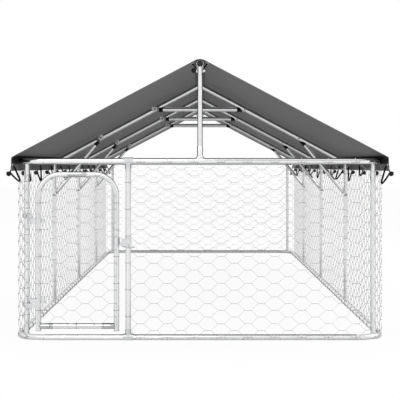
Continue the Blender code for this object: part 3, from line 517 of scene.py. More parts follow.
def new_object(name: str, data: Any) -> bpy.types.Object:
    """Put a new object in the scene.

    Args:
        name: Its name.
        data: Its mesh, camera or lamp.

    Returns:
        The object.
    """
    made = bpy.data.objects.new(name, data)
    bpy.context.scene.collection.objects.link(made)
    return made


class GeometryTree:
    """A Geometry Nodes tree with named inputs, and the way to run it on paths or points."""

    def __init__(self, name: str, inputs: Iterable[tuple[str, str]]) -> None:
        """Make the tree's interface.

        Args:
            name: The tree's name.
            inputs: Pairs of an input's name and its socket type.
        """
        self.tree = bpy.data.node_groups.new(name, "GeometryNodeTree")
        face = self.tree.interface
        face.new_socket("Geometry", in_out="INPUT", socket_type="NodeSocketGeometry")
        self.ids: dict[str, str] = {}
        for label, kind in inputs:
            item = face.new_socket(label, in_out="INPUT", socket_type=kind)
            self.ids[label] = item.identifier
        face.new_socket("Geometry", in_out="OUTPUT", socket_type="NodeSocketGeometry")
        self.source = self.add("NodeGroupInput")

    def add(self, kind: str, *options: Any) -> bpy.types.Node:
        """Add a node, with the settings and sockets that add_node takes."""
        return add_node(self.tree, kind, *options)

    def close(self, geometry: bpy.types.NodeSocket, material: bpy.types.NodeSocket) -> None:
        """End the tree in Realize Instances and Set Material.

        Args:
            geometry: What the tree made.
            material: The material input.
        """
        real = self.add("GeometryNodeRealizeInstances", None, {0: geometry})
        dressed = self.add(
            "GeometryNodeSetMaterial", None, {"Geometry": real.outputs[0], "Material": material}
        )
        end = self.add("NodeGroupOutput")
        self.tree.links.new(dressed.outputs[0], end.inputs[0])

    def run(self, name: str, mesh: bpy.types.Mesh, values: dict[str, Any]) -> bpy.types.Object:
        """Run the tree on a mesh and keep the result as a plain mesh object.

        Args:
            name: The new piece's name.
            mesh: The input mesh.
            values: The inputs' values, by name.

        Returns:
            The piece, at the origin.
        """
        maker = new_object(f"{name}_maker", mesh)
        modifier = maker.modifiers.new("maker", "NODES")
        modifier.node_group = self.tree
        for label, value in values.items():
            modifier[self.ids[label]] = value
        bpy.context.view_layer.update()
        graph = bpy.context.evaluated_depsgraph_get()
        result = bpy.data.meshes.new_from_object(maker.evaluated_get(graph))
        maker.modifiers.remove(modifier)
        bpy.data.objects.remove(maker)
        result.name = name
        return new_object(name, result)


class SweepTree(GeometryTree):
    """Sweeps a round section along every path of a wire mesh."""

    def __init__(self) -> None:
        """Build the tree."""
        inputs = [
            ("Radius", "NodeSocketFloat"), ("Sides", "NodeSocketInt"), ("Material", "NodeSocketMaterial"),
        ]
        super().__init__("sweep_round_section", inputs)
        curve = self.add("GeometryNodeMeshToCurve", None, {0: self.source.outputs["Geometry"]})
        ring = self.add(
            "GeometryNodeCurvePrimitiveCircle",
            None,
            {"Resolution": self.source.outputs["Sides"], "Radius": self.source.outputs["Radius"]},
        )
        tube = self.add(
            "GeometryNodeCurveToMesh",
            None,
            {"Curve": curve.outputs[0], "Profile Curve": ring.outputs[0], "Fill Caps": True},
        )
        soft = self.add("GeometryNodeSetShadeSmooth", None, {0: tube.outputs[0]})
        self.close(soft.outputs[0], self.source.outputs["Material"])


class ScatterTree(GeometryTree):
    """Puts a copy of one small piece on every point, turned by the point's own "turn"."""

    def __init__(self) -> None:
        """Build the tree."""
        inputs = [("Piece", "NodeSocketObject"), ("Material", "NodeSocketMaterial")]
        super().__init__("scatter_small_pieces", inputs)
        look = self.add(
            "GeometryNodeObjectInfo", None, {"Object": self.source.outputs["Piece"], "As Instance": True}
        )
        turn = self.add("GeometryNodeInputNamedAttribute", {"data_type": "FLOAT_VECTOR"}, {"Name": "turn"})
        spread = self.add(
            "GeometryNodeInstanceOnPoints",
            None,
            {
                "Points": self.source.outputs["Geometry"],
                "Instance": look.outputs["Geometry"],
                "Rotation": turn.outputs[0],
            },
        )
        self.close(spread.outputs[0], self.source.outputs["Material"])


class Workshop:
    """Makes, dresses and places pieces."""

    fine_sides: int = 8
    cap_angle: float = math.radians(50)

    def __init__(self) -> None:
        """Build the trees."""
        self.sweeper = SweepTree()
        self.scatterer = ScatterTree()
        self.count = 0

    def place(
        self, piece: bpy.types.Object, body: Body, slot: Slot, nodes: Sequence[str] = ()
    ) -> bpy.types.Object:
        """Let a piece ride on a body, and stand for CAD nodes.

        Args:
            piece: The finished piece.
            body: The body that it moves with.
            slot: The record's slot; not used.
            nodes: The CAD nodes that it stands for.

        Returns:
            The piece.
        """
        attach(piece, body.value)
        if nodes:
            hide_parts(*nodes)
        self.count += 1
        LOG.info("%s rides on %s, %d faces", piece.name, body.value, len(piece.data.polygons))
        return piece

    def sweep(
        self, name: str, paths: Sequence[Path], radius: float, finish: Finish, sides: int = 20
    ) -> bpy.types.Object:
        """Sweep a round section along paths.

        Args:
            name: The piece's name.
            paths: Runs of points.
            radius: The section's radius.
            finish: The piece's finish.
            sides: Sides of the section.

        Returns:
            The piece.
        """
        mesh = bpy.data.meshes.new(f"{name}_paths")
        points: list[Point] = []
        edges: list[tuple[int, int]] = []
        for path in paths:
            start = len(points)
            points.extend(path)
            edges.extend((i, i + 1) for i in range(start, len(points) - 1))
        mesh.from_pydata(points, edges, [])
        values = {"Radius": radius, "Sides": sides, "Material": PALETTE.get(finish)}
        piece = self.sweeper.run(name, mesh, values)
        if sides > self.fine_sides:
            piece.data.set_sharp_from_angle(angle=self.cap_angle)
        return piece

    def scatter(
        self, name: str, master: bpy.types.Object, places: Sequence[tuple[Point, Point]], finish: Finish
    ) -> bpy.types.Object:
        """Put copies of a small piece on points.

        Args:
            name: The piece's name.
            master: The small piece, which is removed afterwards.
            places: Pairs of a point and its turn as Euler angles.
            finish: The piece's finish.

        Returns:
            The piece.
        """
        mesh = bpy.data.meshes.new(f"{name}_points")
        mesh.from_pydata([place for place, _ in places], [], [])
        turns = mesh.attributes.new("turn", "FLOAT_VECTOR", "POINT")
        turns.data.foreach_set("vector", [c for _, turn in places for c in turn])
        values = {"Piece": master, "Material": PALETTE.get(finish)}
        piece = self.scatterer.run(name, mesh, values)
        bpy.data.objects.remove(master)
        return piece

    def mesh_piece(
        self, name: str, builder: bmesh.types.BMesh, finish: Finish, sharp: float = 40.0
    ) -> bpy.types.Object:
        """Turn a bmesh into a dressed piece with its faces pointing out.

        Args:
            name: The piece's name.
            builder: The shape, which is freed.
            finish: The piece's finish.
            sharp: Edges above this angle in degrees stay sharp.

        Returns:
            The piece.
        """
        bmesh.ops.remove_doubles(builder, verts=builder.verts, dist=1e-6)
        bmesh.ops.recalc_face_normals(builder, faces=builder.faces)
        mesh = bpy.data.meshes.new(name)
        builder.to_mesh(mesh)
        builder.free()
        mesh.shade_smooth()
        mesh.set_sharp_from_angle(angle=math.radians(sharp))
        mesh.materials.append(PALETTE.get(finish))
        return new_object(name, mesh)

    def turned(
        self,
        name: str,
        outline: Sequence[tuple[float, float]],
        finish: Finish,
        sides: int = 24,
        axis: Axis = Axis.Z,
    ) -> bpy.types.Object:
        """A lathe piece about one axis through the origin.

        Args:
            name: The piece's name.
            outline: Pairs of a radius and a height.
            finish: The piece's finish.
            sides: Steps round the axis.
            axis: The axis that the heights run along.

        Returns:
            The piece.
        """
        builder = bmesh.new()
        verts = [builder.verts.new((radius, 0.0, height)) for radius, height in outline]
        edges = [builder.edges.new(pair) for pair in zip(verts, verts[1:])]
        bmesh.ops.spin(
            builder, geom=verts + edges, cent=(0, 0, 0), axis=(0, 0, 1), angle=2 * math.pi, steps=sides
        )
        if axis is not Axis.Z:
            turn, about = axis.value
            bmesh.ops.transform(builder, matrix=Matrix.Rotation(turn, 4, about), verts=builder.verts)
        return self.mesh_piece(name, builder, finish)

    def hex_bolt(self, name: str, radius: float, height: float, sunk: float) -> bpy.types.Object:
        """A bolt head with its washer, standing up from the plane that it is tightened on.

        Args:
            name: The piece's name.
            radius: Half of the head's width across its corners.
            height: The head's height over the washer.
            sunk: How far its shank goes in under the washer.

        Returns:
            The piece.
        """
        washer, shank, flange = 0.0011, radius * 0.5, radius * 1.22
        outline = [(0.0, -sunk), (shank, -sunk), (shank, 0.0), (flange, 0.0)]
        outline += [(radius * 1.26, washer * 0.5), (flange, washer), (0.0, washer)]
        disc = self.turned(f"{name}_washer", outline, Finish.BOLT, 20)
        angles = [math.pi * i / 3 for i in range(6)]
        rings = []
        for share, level in ((1.0, washer * 0.9), (1.0, washer + height * 0.82), (0.86, washer + height)):
            reach = radius * share
            rings.append([Vector((reach * math.cos(a), reach * math.sin(a), level)) for a in angles])
        head = self.loft(f"{name}_head", rings, Finish.BOLT, 25.0)
        return self.join(name, [disc, head])

    def loft(
        self, name: str, sections: Sequence[Sequence[Vector]], finish: Finish, sharp: float = 40.0
    ) -> bpy.types.Object:
        """A closed skin over rings of as many points each.

        Args:
            name: The piece's name.
            sections: The rings, in order.
            finish: The piece's finish.
            sharp: Edges above this angle in degrees stay sharp.

        Returns:
            The piece.
        """
        builder = bmesh.new()
        rings = [[builder.verts.new(point) for point in section] for section in sections]
        count = len(rings[0])
        for low, high in zip(rings, rings[1:]):
            for i in range(count):
                builder.faces.new((low[i], low[(i + 1) % count], high[(i + 1) % count], high[i]))
        builder.faces.new(rings[0][::-1])
        builder.faces.new(rings[-1])
        return self.mesh_piece(name, builder, finish, sharp)

    def shift(self, piece: bpy.types.Object, matrix: Matrix) -> bpy.types.Object:
        """Put a piece's place into its mesh.

        Args:
            piece: The piece.
            matrix: Where it goes.

        Returns:
            The piece.
        """
        piece.data.transform(matrix)
        return piece

    def join(self, name: str, parts: Sequence[bpy.types.Object]) -> bpy.types.Object:
        """Join pieces of one body into one object.

        Args:
            name: The new name.
            parts: The pieces.

        Returns:
            The joined piece.
        """
        builder = bmesh.new()
        materials: list[bpy.types.Material] = []
        for part in parts:
            lookup = []
            for material in part.data.materials:
                if material not in materials:
                    materials.append(material)
                lookup.append(materials.index(material))
            before = len(builder.faces)
            builder.from_mesh(part.data)
            builder.faces.ensure_lookup_table()
            for index in range(before, len(builder.faces)):
                face = builder.faces[index]
                face.material_index = lookup[min(face.material_index, len(lookup) - 1)]
        mesh = bpy.data.meshes.new(name)
        builder.to_mesh(mesh)
        builder.free()
        for material in materials:
            mesh.materials.append(material)
        for part in parts:
            bpy.data.objects.remove(part)
        return new_object(name, mesh)


SHOP = Workshop()


def arc(
    centre: tuple[float, float], radius: float, start: float, end: float, steps: int
) -> list[tuple[float, float]]:
    """Points on a flat arc.

    Args:
        centre: The arc's centre.
        radius: Its radius.
        start: Its first angle in degrees.
        end: Its last angle in degrees.
        steps: Number of chords.

    Returns:
        The points.
    """
    points = []
    for i in range(steps + 1):
        angle = math.radians(start + (end - start) * i / steps)
        points.append((centre[0] + radius * math.cos(angle), centre[1] + radius * math.sin(angle)))
    return points


def right_normals(outline: Sequence[tuple[float, float]]) -> list[Vector]:
    """Unit normals at a flat outline's points, on the right of its run.

    Args:
        outline: The outline's points.

    Returns:
        A normal for each point.
    """
    normals = []
    for i in range(len(outline)):
        before, after = outline[max(i - 1, 0)], outline[min(i + 1, len(outline) - 1)]
        run = Vector((after[0] - before[0], after[1] - before[1])).normalized()
        normals.append(Vector((run.y, -run.x)))
    return normals


def skin_rows(
    builder: bmesh.types.BMesh,
    rows: Sequence[Sequence[bmesh.types.BMVert]],
    chart: Optional[Callable[[bmesh.types.BMVert], tuple[float, float]]] = None,
) -> None:
    """Lay faces between rows of as many vertices, mapped for the weave.

    Args:
        builder: The shape that they join.
        rows: The rows of its vertices.
        chart: Gives a vertex's place on the weave's map, which is (x + z, y) without it.
    """
    weave = builder.loops.layers.uv["weave"]
    for low, high in zip(rows, rows[1:]):
        for i in range(len(low) - 1):
            face = builder.faces.new((low[i], low[i + 1], high[i + 1], high[i]))
            for corner in face.loops:
                x, y, z = corner.vert.co
                corner[weave].uv = chart(corner.vert) if chart else (x + z, y)


# Sizes


@dataclass(frozen=True)
class KennelSizes:
    """Sizes and places of the frame, between tube axes, in metres."""

    half_length: float = 3.0
    half_width: float = 0.966
    corner_radius: float = 0.140
    bottom_z: float = 0.0154
    top_z: float = 0.948
    ridge_z: float = 1.463
    bay: float = 1.5
    frame_ys: tuple[float, ...] = (-1.5, 0.0, 1.5)
    bungee_ys: tuple[float, ...] = tuple(-3.0 + 0.5 * i for i in range(13))
    rail_radius: float = 0.0158
    post_radius: float = 0.014
    king_radius: float = 0.014
    rafter_radius: float = 0.016
    rafter_top_z: float = 1.455
    rafter_rise: float = 0.512
    tie_z: float = 1.297
    brace_head_x: float = 0.656
    brace_foot_z: float = 0.731
    brace_radius: float = 0.0125
    ridge_radius: float = 0.016
    ridge_grommet: tuple[float, float] = (0.0372, 2.983)
    clamp_bolt_z: float = 1.4262
    post_inset: float = 0.0425
    door_post_x: float = -0.380
    door_left_x: float = -0.8555
    door_right_x: float = -0.442
    door_foot_z: float = 0.047
    door_top_z: float = 0.878
    door_corner: float = 0.115
    cross_z: float = 0.075

    @property
    def bend_x(self) -> float:
        """Where the end rails' bends begin, across."""
        return self.half_width - self.corner_radius

    @property
    def bend_y(self) -> float:
        """Where the end rails' bends begin, along."""
        return self.half_length - self.corner_radius

    def rafter_z(self, x: float) -> float:
        """Height of the rafters' axes at a distance from the middle."""
        return self.rafter_top_z - self.rafter_rise / self.half_width * abs(x)


SIZES = KennelSizes()


# Frame


@dataclass
class TubeFrame:
    """Rails, posts and roof tubes of the kennel."""

    sizes: KennelSizes = SIZES
    bend_steps: int = 12
    sides: int = 24
    elbow_lead: float = 0.020
    seam: float = 0.0016
    seam_lift: float = 0.0001
    floor_gap: float = 0.0002
    overlap: float = 0.002
    ridge_past: float = 0.020
    rafter_start_x: float = 0.004

    def build(self) -> None:
        """Make every tube of the frame."""
        self.rails()
        self.posts()
        self.roof_tubes()

    def tube(self, name: str, path: Path, radius: float, finish: Finish = Finish.TUBE) -> None:
        """Make one tube in place of its node.

        Args:
            name: The node's name.
            path: The tube's axis.
            radius: The tube's radius.
            finish: The tube's finish.
        """
        piece = SHOP.sweep(f"{name}_tube", [path], radius, finish, self.sides)
        SHOP.place(piece, Body.KENNEL, Slot.TUBE, [name])

    def rails(self) -> None:
        """The bent end rails and the straight side rails, at both levels."""
        s = self.sizes
        lead = s.bend_y - self.elbow_lead
        levels = (("bottom", s.bottom_z, s.bottom_z - self.floor_gap), ("top", s.top_z, s.rail_radius))
        for level, z, radius in levels:
            for end, sign in ENDS:
                middle, quarter, steps = sign * s.bend_y, sign * 90, self.bend_steps
                right = arc((s.bend_x, middle), s.corner_radius, 0, quarter, steps)
                left = arc((-s.bend_x, middle), s.corner_radius, quarter, 2 * quarter, steps)
                self.end_rail(
                    f"{level}_rail_{end}",
                    [(x, y, z) for x, y in [(s.half_width, sign * lead), *right]],
                    [(x, y, z) for x, y in [*left, (-s.half_width, sign * lead)]],
                    radius,
                )
            for side, sign in SIDES:
                x = sign * s.half_width
                # The bottom side rails take the near-white copy of the tube: painted light.
                finish = Finish.RUN if level == "top" else Finish.LIT_FLOOR_RUN
                self.tube(f"{level}_rail_{side}", [(x, -lead, z), (x, lead, z)], radius, finish)

    def end_rail(self, name: str, right: Path, left: Path, radius: float) -> None:
        """Make one end rail: a straight tube with an elbow and a seam at both ends.

        Args:
            name: The node's name.
            right: The right elbow's axis, towards the middle.
            left: The left elbow's axis, from the middle.
            radius: The tube's radius.
        """
        x, y, z = left[0]
        lift, run = self.seam_lift, [(-x, y, z), (x, y, z)]
        finish = Finish.TUBE if name.startswith("top") else Finish.ELBOW
        parts = [
            SHOP.sweep(f"{name}_elbow_right", [right], radius, finish, self.sides),
            SHOP.sweep(f"{name}_run", [run], radius - lift, Finish.TUBE, self.sides),
            SHOP.sweep(f"{name}_elbow_left", [left], radius, finish, self.sides),
        ]
        for side in (-1, 1):
            ends = [(side * (abs(x) + reach), y, z) for reach in (-self.seam, self.seam)]
            parts.append(SHOP.sweep(f"{name}_seam", [ends], radius + lift, Finish.SLEEVE, self.sides))
        SHOP.place(SHOP.join(f"{name}_tube", parts), Body.KENNEL, Slot.TUBE, [name])

    def posts(self) -> None:
        """Corner posts, side posts and the door post."""
        s = self.sizes
        low = s.bottom_z + s.rail_radius - self.overlap
        high = s.top_z - s.rail_radius + self.overlap
        corner_x, corner_y = s.half_width - s.post_inset, s.half_length - s.post_inset
        places = {}
        for end, sign in ENDS:
            for side, turn in SIDES:
                places[f"corner_post_{end}_{side}"] = (turn * corner_x, sign * corner_y)
        for number, y in enumerate(s.frame_ys, 1):
            for side, turn in SIDES:
                places[f"side_post_{side}_{number}"] = (turn * s.half_width, y)
        places["door_post"] = (s.door_post_x, -s.half_length)
        for name, (x, y) in places.items():
            finish = Finish.RUN if name.startswith("side") else Finish.POST
            self.tube(name, [(x, y, low), (x, y, high)], s.post_radius, finish)

    def roof_tubes(self) -> None:
        """The ridge pole and the rafters."""
        s = self.sizes
        reach = s.half_length + self.ridge_past
        pole = [(0, -reach, s.ridge_z), (0, reach, s.ridge_z)]
        self.tube("ridge_pole", pole, s.ridge_radius, Finish.RUN)
        for number, y in enumerate(s.frame_ys, 1):
            for side, turn in SIDES:
                far = s.half_width - s.rail_radius + self.overlap
                ends = [(turn * x, y, s.rafter_z(x)) for x in (self.rafter_start_x, far)]
                self.tube(f"rafter_{side}_{number}", ends, s.rafter_radius)


@dataclass
class Bracing:
    """King posts, collar ties and knee braces, with their flat ends, necks and bolts; the necks at the tie
    ends and brace heads are near-black, painted shade at the joints.
    """

    sizes: KennelSizes = SIZES
    sides: int = 28
    plate_reach: float = 0.020
    tie_neck: float = 0.028
    head_neck: float = 0.034
    foot_neck: float = 0.021
    plate_half: float = 0.0015
    tie_plate: float = 0.0145
    head_plate: float = 0.0125
    foot_plate: float = 0.010
    foot_reach: float = 0.008
    seat_gap: float = 0.0004
    nut_sunk: float = 0.0006
    shade_neck_wall: float = 0.0020
    neck_wall: float = 0.0006
    saddle_half: float = 0.029
    saddle_wall: float = 0.0014
    saddle_gap: float = 0.0002
    saddle_span: tuple[float, float] = (-15.0, 195.0)
    bolts: list[tuple[Point, Point]] = field(default_factory=list)

    def build(self) -> None:
        """Make every brace of the frame."""
        self.king_posts()
        self.collar_ties()
        self.knee_braces()
        master = SHOP.hex_bolt("hex_bolt_master", radius=0.0055, height=0.0042, sunk=0.004)
        piece = SHOP.scatter("bracing_bolts", master, self.bolts, Finish.BOLT)
        SHOP.place(piece, Body.KENNEL, Slot.ZINC)

    def ring(
        self, centre: Vector, across: Vector, outward: Vector, wide: float, thick: float, square: float
    ) -> list[Vector]:
        """One rounded section of a member.

        Args:
            centre: Its middle.
            across: Its wide direction.
            outward: Its thin direction.
            wide: Half of its width.
            thick: Half of its thickness.
            square: From 2, round, towards a rectangle as it grows.

        Returns:
            Its points.
        """
        points = []
        for i in range(self.sides):
            angle = 2 * math.pi * (i + 0.5) / self.sides
            c, s = math.cos(angle), math.sin(angle)
            x = wide * math.copysign(abs(c) ** (2 / square), c)
            z = thick * math.copysign(abs(s) ** (2 / square), s)
            points.append(centre + across * x + outward * z)
        return points

    def flat_end(
        self,
        name: str,
        seat: Vector,
        into: Vector,
        back: bool,
        crossed: float,
        radius: float,
        half: float,
        reach: float,
        neck: float,
        finish: Finish,
    ) -> list[bpy.types.Object]:
        """A steel tongue that is bolted over the crossed tube, and the neck that joins it to its own.

        Args:
            name: The member's name.
            seat: Where its axis crosses the tube that it is bolted to.
            into: Unit vector from the seat along the member.
            back: Whether the tongue lies behind the crossed tube.
            crossed: The crossed tube's radius.
            radius: The member's radius.
            half: Half of the tongue's width.
            reach: How far the tongue goes on past the seat.
            neck: The neck's length.
            finish: The neck's finish; the near-black one paints the shade at the joint.

        Returns:
            The two pieces.
        """
        outward = Vector((0, 1 if back else -1, 0))
        across = into.cross(outward)
        offset = crossed + self.seat_gap + self.plate_half
        tongue = []
        for distance, share in (
            (-reach, 0.82),
            (-reach + 0.0012, 0.93),
            (-reach + 0.0035, 1.0),
            (self.plate_reach + 0.006, 1.0),
        ):
            centre = seat + into * distance + outward * offset
            tongue.append(self.ring(centre, across, outward, half * share, self.plate_half, 9.0))
        neck_skin = []
        cap = radius + (self.shade_neck_wall if finish is Finish.SHADE_NECK else self.neck_wall)
        for share, wide, thick, lift in (
            (-0.10, half * 0.90, 0.0036, 0.94),
            (-0.02, cap * 0.96, 0.0050, 0.90),
            (0.22, cap, 0.0090, 0.52),
            (0.45, cap, cap * 0.94, 0.10),
            (0.55, cap, cap, 0.0),
            (1.15, cap, cap, 0.0),
            (1.18, cap * 0.9, cap * 0.9, 0.0),
        ):
            centre = seat + into * (self.plate_reach + neck * share) + outward * offset * lift
            neck_skin.append(self.ring(centre, across, outward, wide, thick, 5.0 if share < 0.4 else 2.0))
        head = seat + outward * (offset + self.plate_half)
        nut = seat - outward * (crossed - self.nut_sunk)
        turn = -math.pi / 2 if back else math.pi / 2
        self.bolts.append((tuple(head), (turn, 0.3, 0.0)))
        self.bolts.append((tuple(nut), (-turn, 0.5, 0.0)))
        return [
            SHOP.loft(f"{name}_tongue", tongue, Finish.PLATE, 35.0),
            SHOP.loft(f"{name}_moulding", neck_skin, finish, 50.0),
        ]

    def member(
        self,
        node: str,
        seats: Sequence[Vector],
        necks: tuple[float, float],
        ends: list[bpy.types.Object],
        radius: float,
    ) -> None:
        """Join a member's tube and its ends.

        Args:
            node: The CAD node that it stands for.
            seats: Both places where its axis crosses another tube.
            necks: Lengths of the necks at both ends.
            ends: The pieces of both ends.
            radius: The tube's radius.
        """
        along = (seats[1] - seats[0]).normalized()
        first, last = (self.plate_reach + neck for neck in necks)
        side = along.orthogonal().normalized()
        rings = []
        for centre in (seats[0] + along * first, seats[1] - along * last):
            rings.append(self.ring(centre, side, along.cross(side), radius, radius, 2.0))
        tube = SHOP.loft(f"{node}_bar", rings, Finish.TUBE, 40.0)
        piece = SHOP.join(f"{node}_tube", [tube, *ends])
        SHOP.place(piece, Body.KENNEL, Slot.TUBE, [node])

    def collar_ties(self) -> None:
        """The level ties: flat in front of the left rafter and behind the right one."""
        s = self.sizes
        seat_x = (s.rafter_z(0.0) - s.tie_z) / (s.rafter_z(0.0) - s.rafter_z(1.0))
        for number, y in enumerate(s.frame_ys, 1):
            node = f"collar_tie_{number}"
            ends, seats = [], []
            for sign in (-1, 1):
                seat, into = Vector((sign * seat_x, y, s.tie_z)), Vector((-sign, 0, 0))
                seats.append(seat)
                ends += self.flat_end(
                    node,
                    seat,
                    into,
                    sign > 0,
                    s.rafter_radius,
                    s.rafter_radius,
                    self.tie_plate,
                    self.plate_reach,
                    self.tie_neck,
                    Finish.SHADE_NECK,
                )
            self.member(node, seats, (self.tie_neck, self.tie_neck), ends, s.rafter_radius)

    def knee_braces(self) -> None:
        """The braces from the side posts up to the rafters."""
        s = self.sizes
        for number, y in enumerate(s.frame_ys, 1):
            for side, sign in SIDES:
                head = Vector((sign * s.brace_head_x, y, s.rafter_z(s.brace_head_x)))
                foot = Vector((sign * s.half_width, y, s.brace_foot_z))
                along = (head - foot).normalized()
                node = f"knee_brace_{side}_{number}"
                ends = self.flat_end(
                    f"{node}_head",
                    head,
                    -along,
                    sign > 0,
                    s.rafter_radius,
                    s.brace_radius,
                    self.head_plate,
                    self.plate_reach,
                    self.head_neck,
                    Finish.SHADE_NECK,
                )
                ends += self.flat_end(
                    f"{node}_foot",
                    foot,
                    along,
                    sign < 0,
                    s.post_radius,
                    s.brace_radius,
                    self.foot_plate,
                    self.foot_reach,
                    self.foot_neck,
                    Finish.PLATE,
                )
                self.member(node, [head, foot], (self.head_neck, self.foot_neck), ends, s.brace_radius)

    def king_posts(self) -> None:
        """The gable posts, each with a sleeve that flares into a saddle on the end rail."""
        s = self.sizes
        rail_top = s.top_z + s.rail_radius
        for end, sign in ENDS:
            y = sign * s.half_length
            stations = [
                (rail_top - 0.009, 0.0290, 0.0125),
                (rail_top + 0.0004, 0.0275, 0.0162),
                (rail_top + 0.0022, 0.0238, 0.0162),
                (rail_top + 0.0050, 0.0198, 0.0160),
                (rail_top + 0.0085, 0.0172, 0.0159),
                (rail_top + 0.0125, 0.0160, 0.0158),
                (rail_top + 0.0605, 0.0158, 0.0158),
                (rail_top + 0.0622, 0.0152, 0.0152),
                (rail_top + 0.0622, s.king_radius, s.king_radius),
                (s.ridge_z - s.ridge_radius, s.king_radius, s.king_radius),
            ]
            rings = [
                self.ring(Vector((0, y, z)), X_AXIS, Y_AXIS, wide, deep, 2.0) for z, wide, deep in stations
            ]
            post = SHOP.loft(f"king_post_{end}_body", rings, Finish.TUBE, 38.0)
            outline = arc((0.0, 0.0), s.rail_radius + self.saddle_wall, *self.saddle_span, 22)
            outline += arc((0.0, 0.0), s.rail_radius + self.saddle_gap, *self.saddle_span[::-1], 22)
            sections = [
                [Vector((x, y + a, s.top_z + z)) for a, z in outline]
                for x in (-self.saddle_half, self.saddle_half)
            ]
            saddle = SHOP.loft(f"king_post_{end}_saddle", sections, Finish.TUBE, 38.0)
            piece = SHOP.join(f"king_post_{end}_tube", [post, saddle])
            SHOP.place(piece, Body.KENNEL, Slot.TUBE, [f"king_post_{end}"])


# Netting


@dataclass(frozen=True)
class Netting:
    """The netting's cell and wire, in metres."""

    cell: float = 0.071
    wire: float = 0.00068
    side_wire: float = 0.00082
    twist_turns: float = 1.0
    twist_steps: int = 6
    offset: float = 0.0172
    flat_z: float = 0.4440
    twist_reach: float = 1.02
    tie_wire: float = 0.0010
    tie_reach: float = 0.0011
    wire_sides: int = 4

    def strand(self, low: float, high: float, level: float, lower: bool) -> Path:
        """One wire across the net, as points (along, up, out).

        Args:
            low: Where the wire begins along the net.
            high: Where it ends.
            level: The level of its even flats.
            lower: Whether its odd flats lie half a cell below the even ones.

        Returns:
            The points, in order.
        """
        cell = self.cell
        first, last = math.floor(low / cell) - 1, math.ceil(high / cell) + 1
        points = []
        for column in range(first, last + 1):
            even = column % 2 == 0
            height = level if even else level + (-cell / 2 if lower else cell / 2)
            under = lower == even
            start = -math.pi / 2 if under else math.pi / 2
            for i in range(self.twist_steps + 1):
                share = i / self.twist_steps
                angle = start + 2 * math.pi * self.twist_turns * share
                reach = self.wire * self.twist_reach
                points.append(
                    (
                        column * cell + (share - 0.5) * cell / 2,
                        height + reach * math.sin(angle),
                        reach * math.cos(angle),
                    )
                )
        return points


def clip_strand(points: Path, inside: Border) -> list[Path]:
    """Keep the stretches of a wire that lie inside a net's border.

    Args:
        points: The wire's points.
        inside: Test of a point (along, up), as a number that is positive inside.

    Returns:
        The stretches.
    """
    kept: list[Path] = []
    current: Path = []
    for here, after in zip(points, points[1:]):
        a, b = inside(here[0], here[1]), inside(after[0], after[1])
        if a > 0 and not current:
            current = [here]
        if (a > 0) != (b > 0):
            t = a / (a - b)
            edge = tuple(h + (n - h) * t for h, n in zip(here, after))
            if a > 0:
                current.append(edge)
                kept.append(current)
                current = []
            else:
                current = [edge]
        if b > 0:
            current.append(after)
    if current:
        kept.append(current)
    return [run for run in kept if len(run) > 1]


@dataclass
class WallNet:
    """One net, laid out flat and then folded on the wall.

    Args:
        name: The piece's name.
        node: The CAD node that it stands for.
        body: The body that it moves with.
        width: Its length along the wall.
        low: Its lower edge.
        high: Its upper edge.
        lay: Turns a point (along, up, out) into a place.
        shift: Where the first column's middle lies along the wall.
        inside: The border's test, when it isn't a plain rectangle.
        edges: Straight selvedge wires as runs of (along, up).
        finish: The wire's finish.
        wire: The wire's radius.
        mesh: The cell, and the height of one row's even flats.
    """

    name: str
    node: str
    body: Body
    width: float
    low: float
    high: float
    lay: Lay
    shift: float = 0.0
    inside: Optional[Border] = None
    edges: list[list[tuple[float, float]]] = field(default_factory=list)
    finish: Finish = Finish.WIRE
    wire: float = Netting.wire
    mesh: Netting = Netting()

    def build(self) -> bpy.types.Object:
        """Make the net.

        Returns:
            The piece.
        """
        cell = self.mesh.cell
        test = self.inside or (
            lambda s, z: min(s, self.width - s, z - self.low, self.high - z)
        )
        paths: list[Path] = []
        rows = math.ceil((self.high - self.low) / cell) + 2
        flat = self.mesh.flat_z
        base = flat - math.ceil((flat - self.low) / cell) * cell - cell
        for row in range(rows + 1):
            for lower in (True, False):
                level = base + row * cell
                points = self.mesh.strand(-self.shift, self.width - self.shift, level, lower)
                moved = [(s + self.shift, z, out) for s, z, out in points]
                for run in clip_strand(moved, test):
                    paths.append([self.lay(*point) for point in run])
        for edge in self.edges:
            paths.append([self.lay(s, z, 0.0) for s, z in edge])
        piece = SHOP.sweep(self.name, paths, self.wire, self.finish, self.mesh.wire_sides)
        return SHOP.place(piece, self.body, Slot.WIRE, [self.node])


def wire_tie(centre: Vector, axis: Vector, radius: float) -> Path:
    """A wire tie wound round a tube, with its ends turned up.

    Args:
        centre: A point on the tube's axis.
        axis: The tube's direction.
        radius: The tie's radius.

    Returns:
        The tie's path.
    """
    steps, turns, lead, turned_up, lowest = 16, 1.4, 0.0032, 1.16, 0.0011
    side = axis.orthogonal().normalized()
    other = axis.cross(side).normalized()
    last = int(steps * turns)
    path = []
    for i in range(last + 1):
        angle = 2 * math.pi * i / steps
        wander = (i / steps - turns / 2) * lead
        reach = radius * (1.0 if 0 < i < last else turned_up)
        point = centre + (side * math.cos(angle) + other * math.sin(angle)) * reach + axis * wander
        path.append((point.x, point.y, max(point.z, lowest)))
    return path


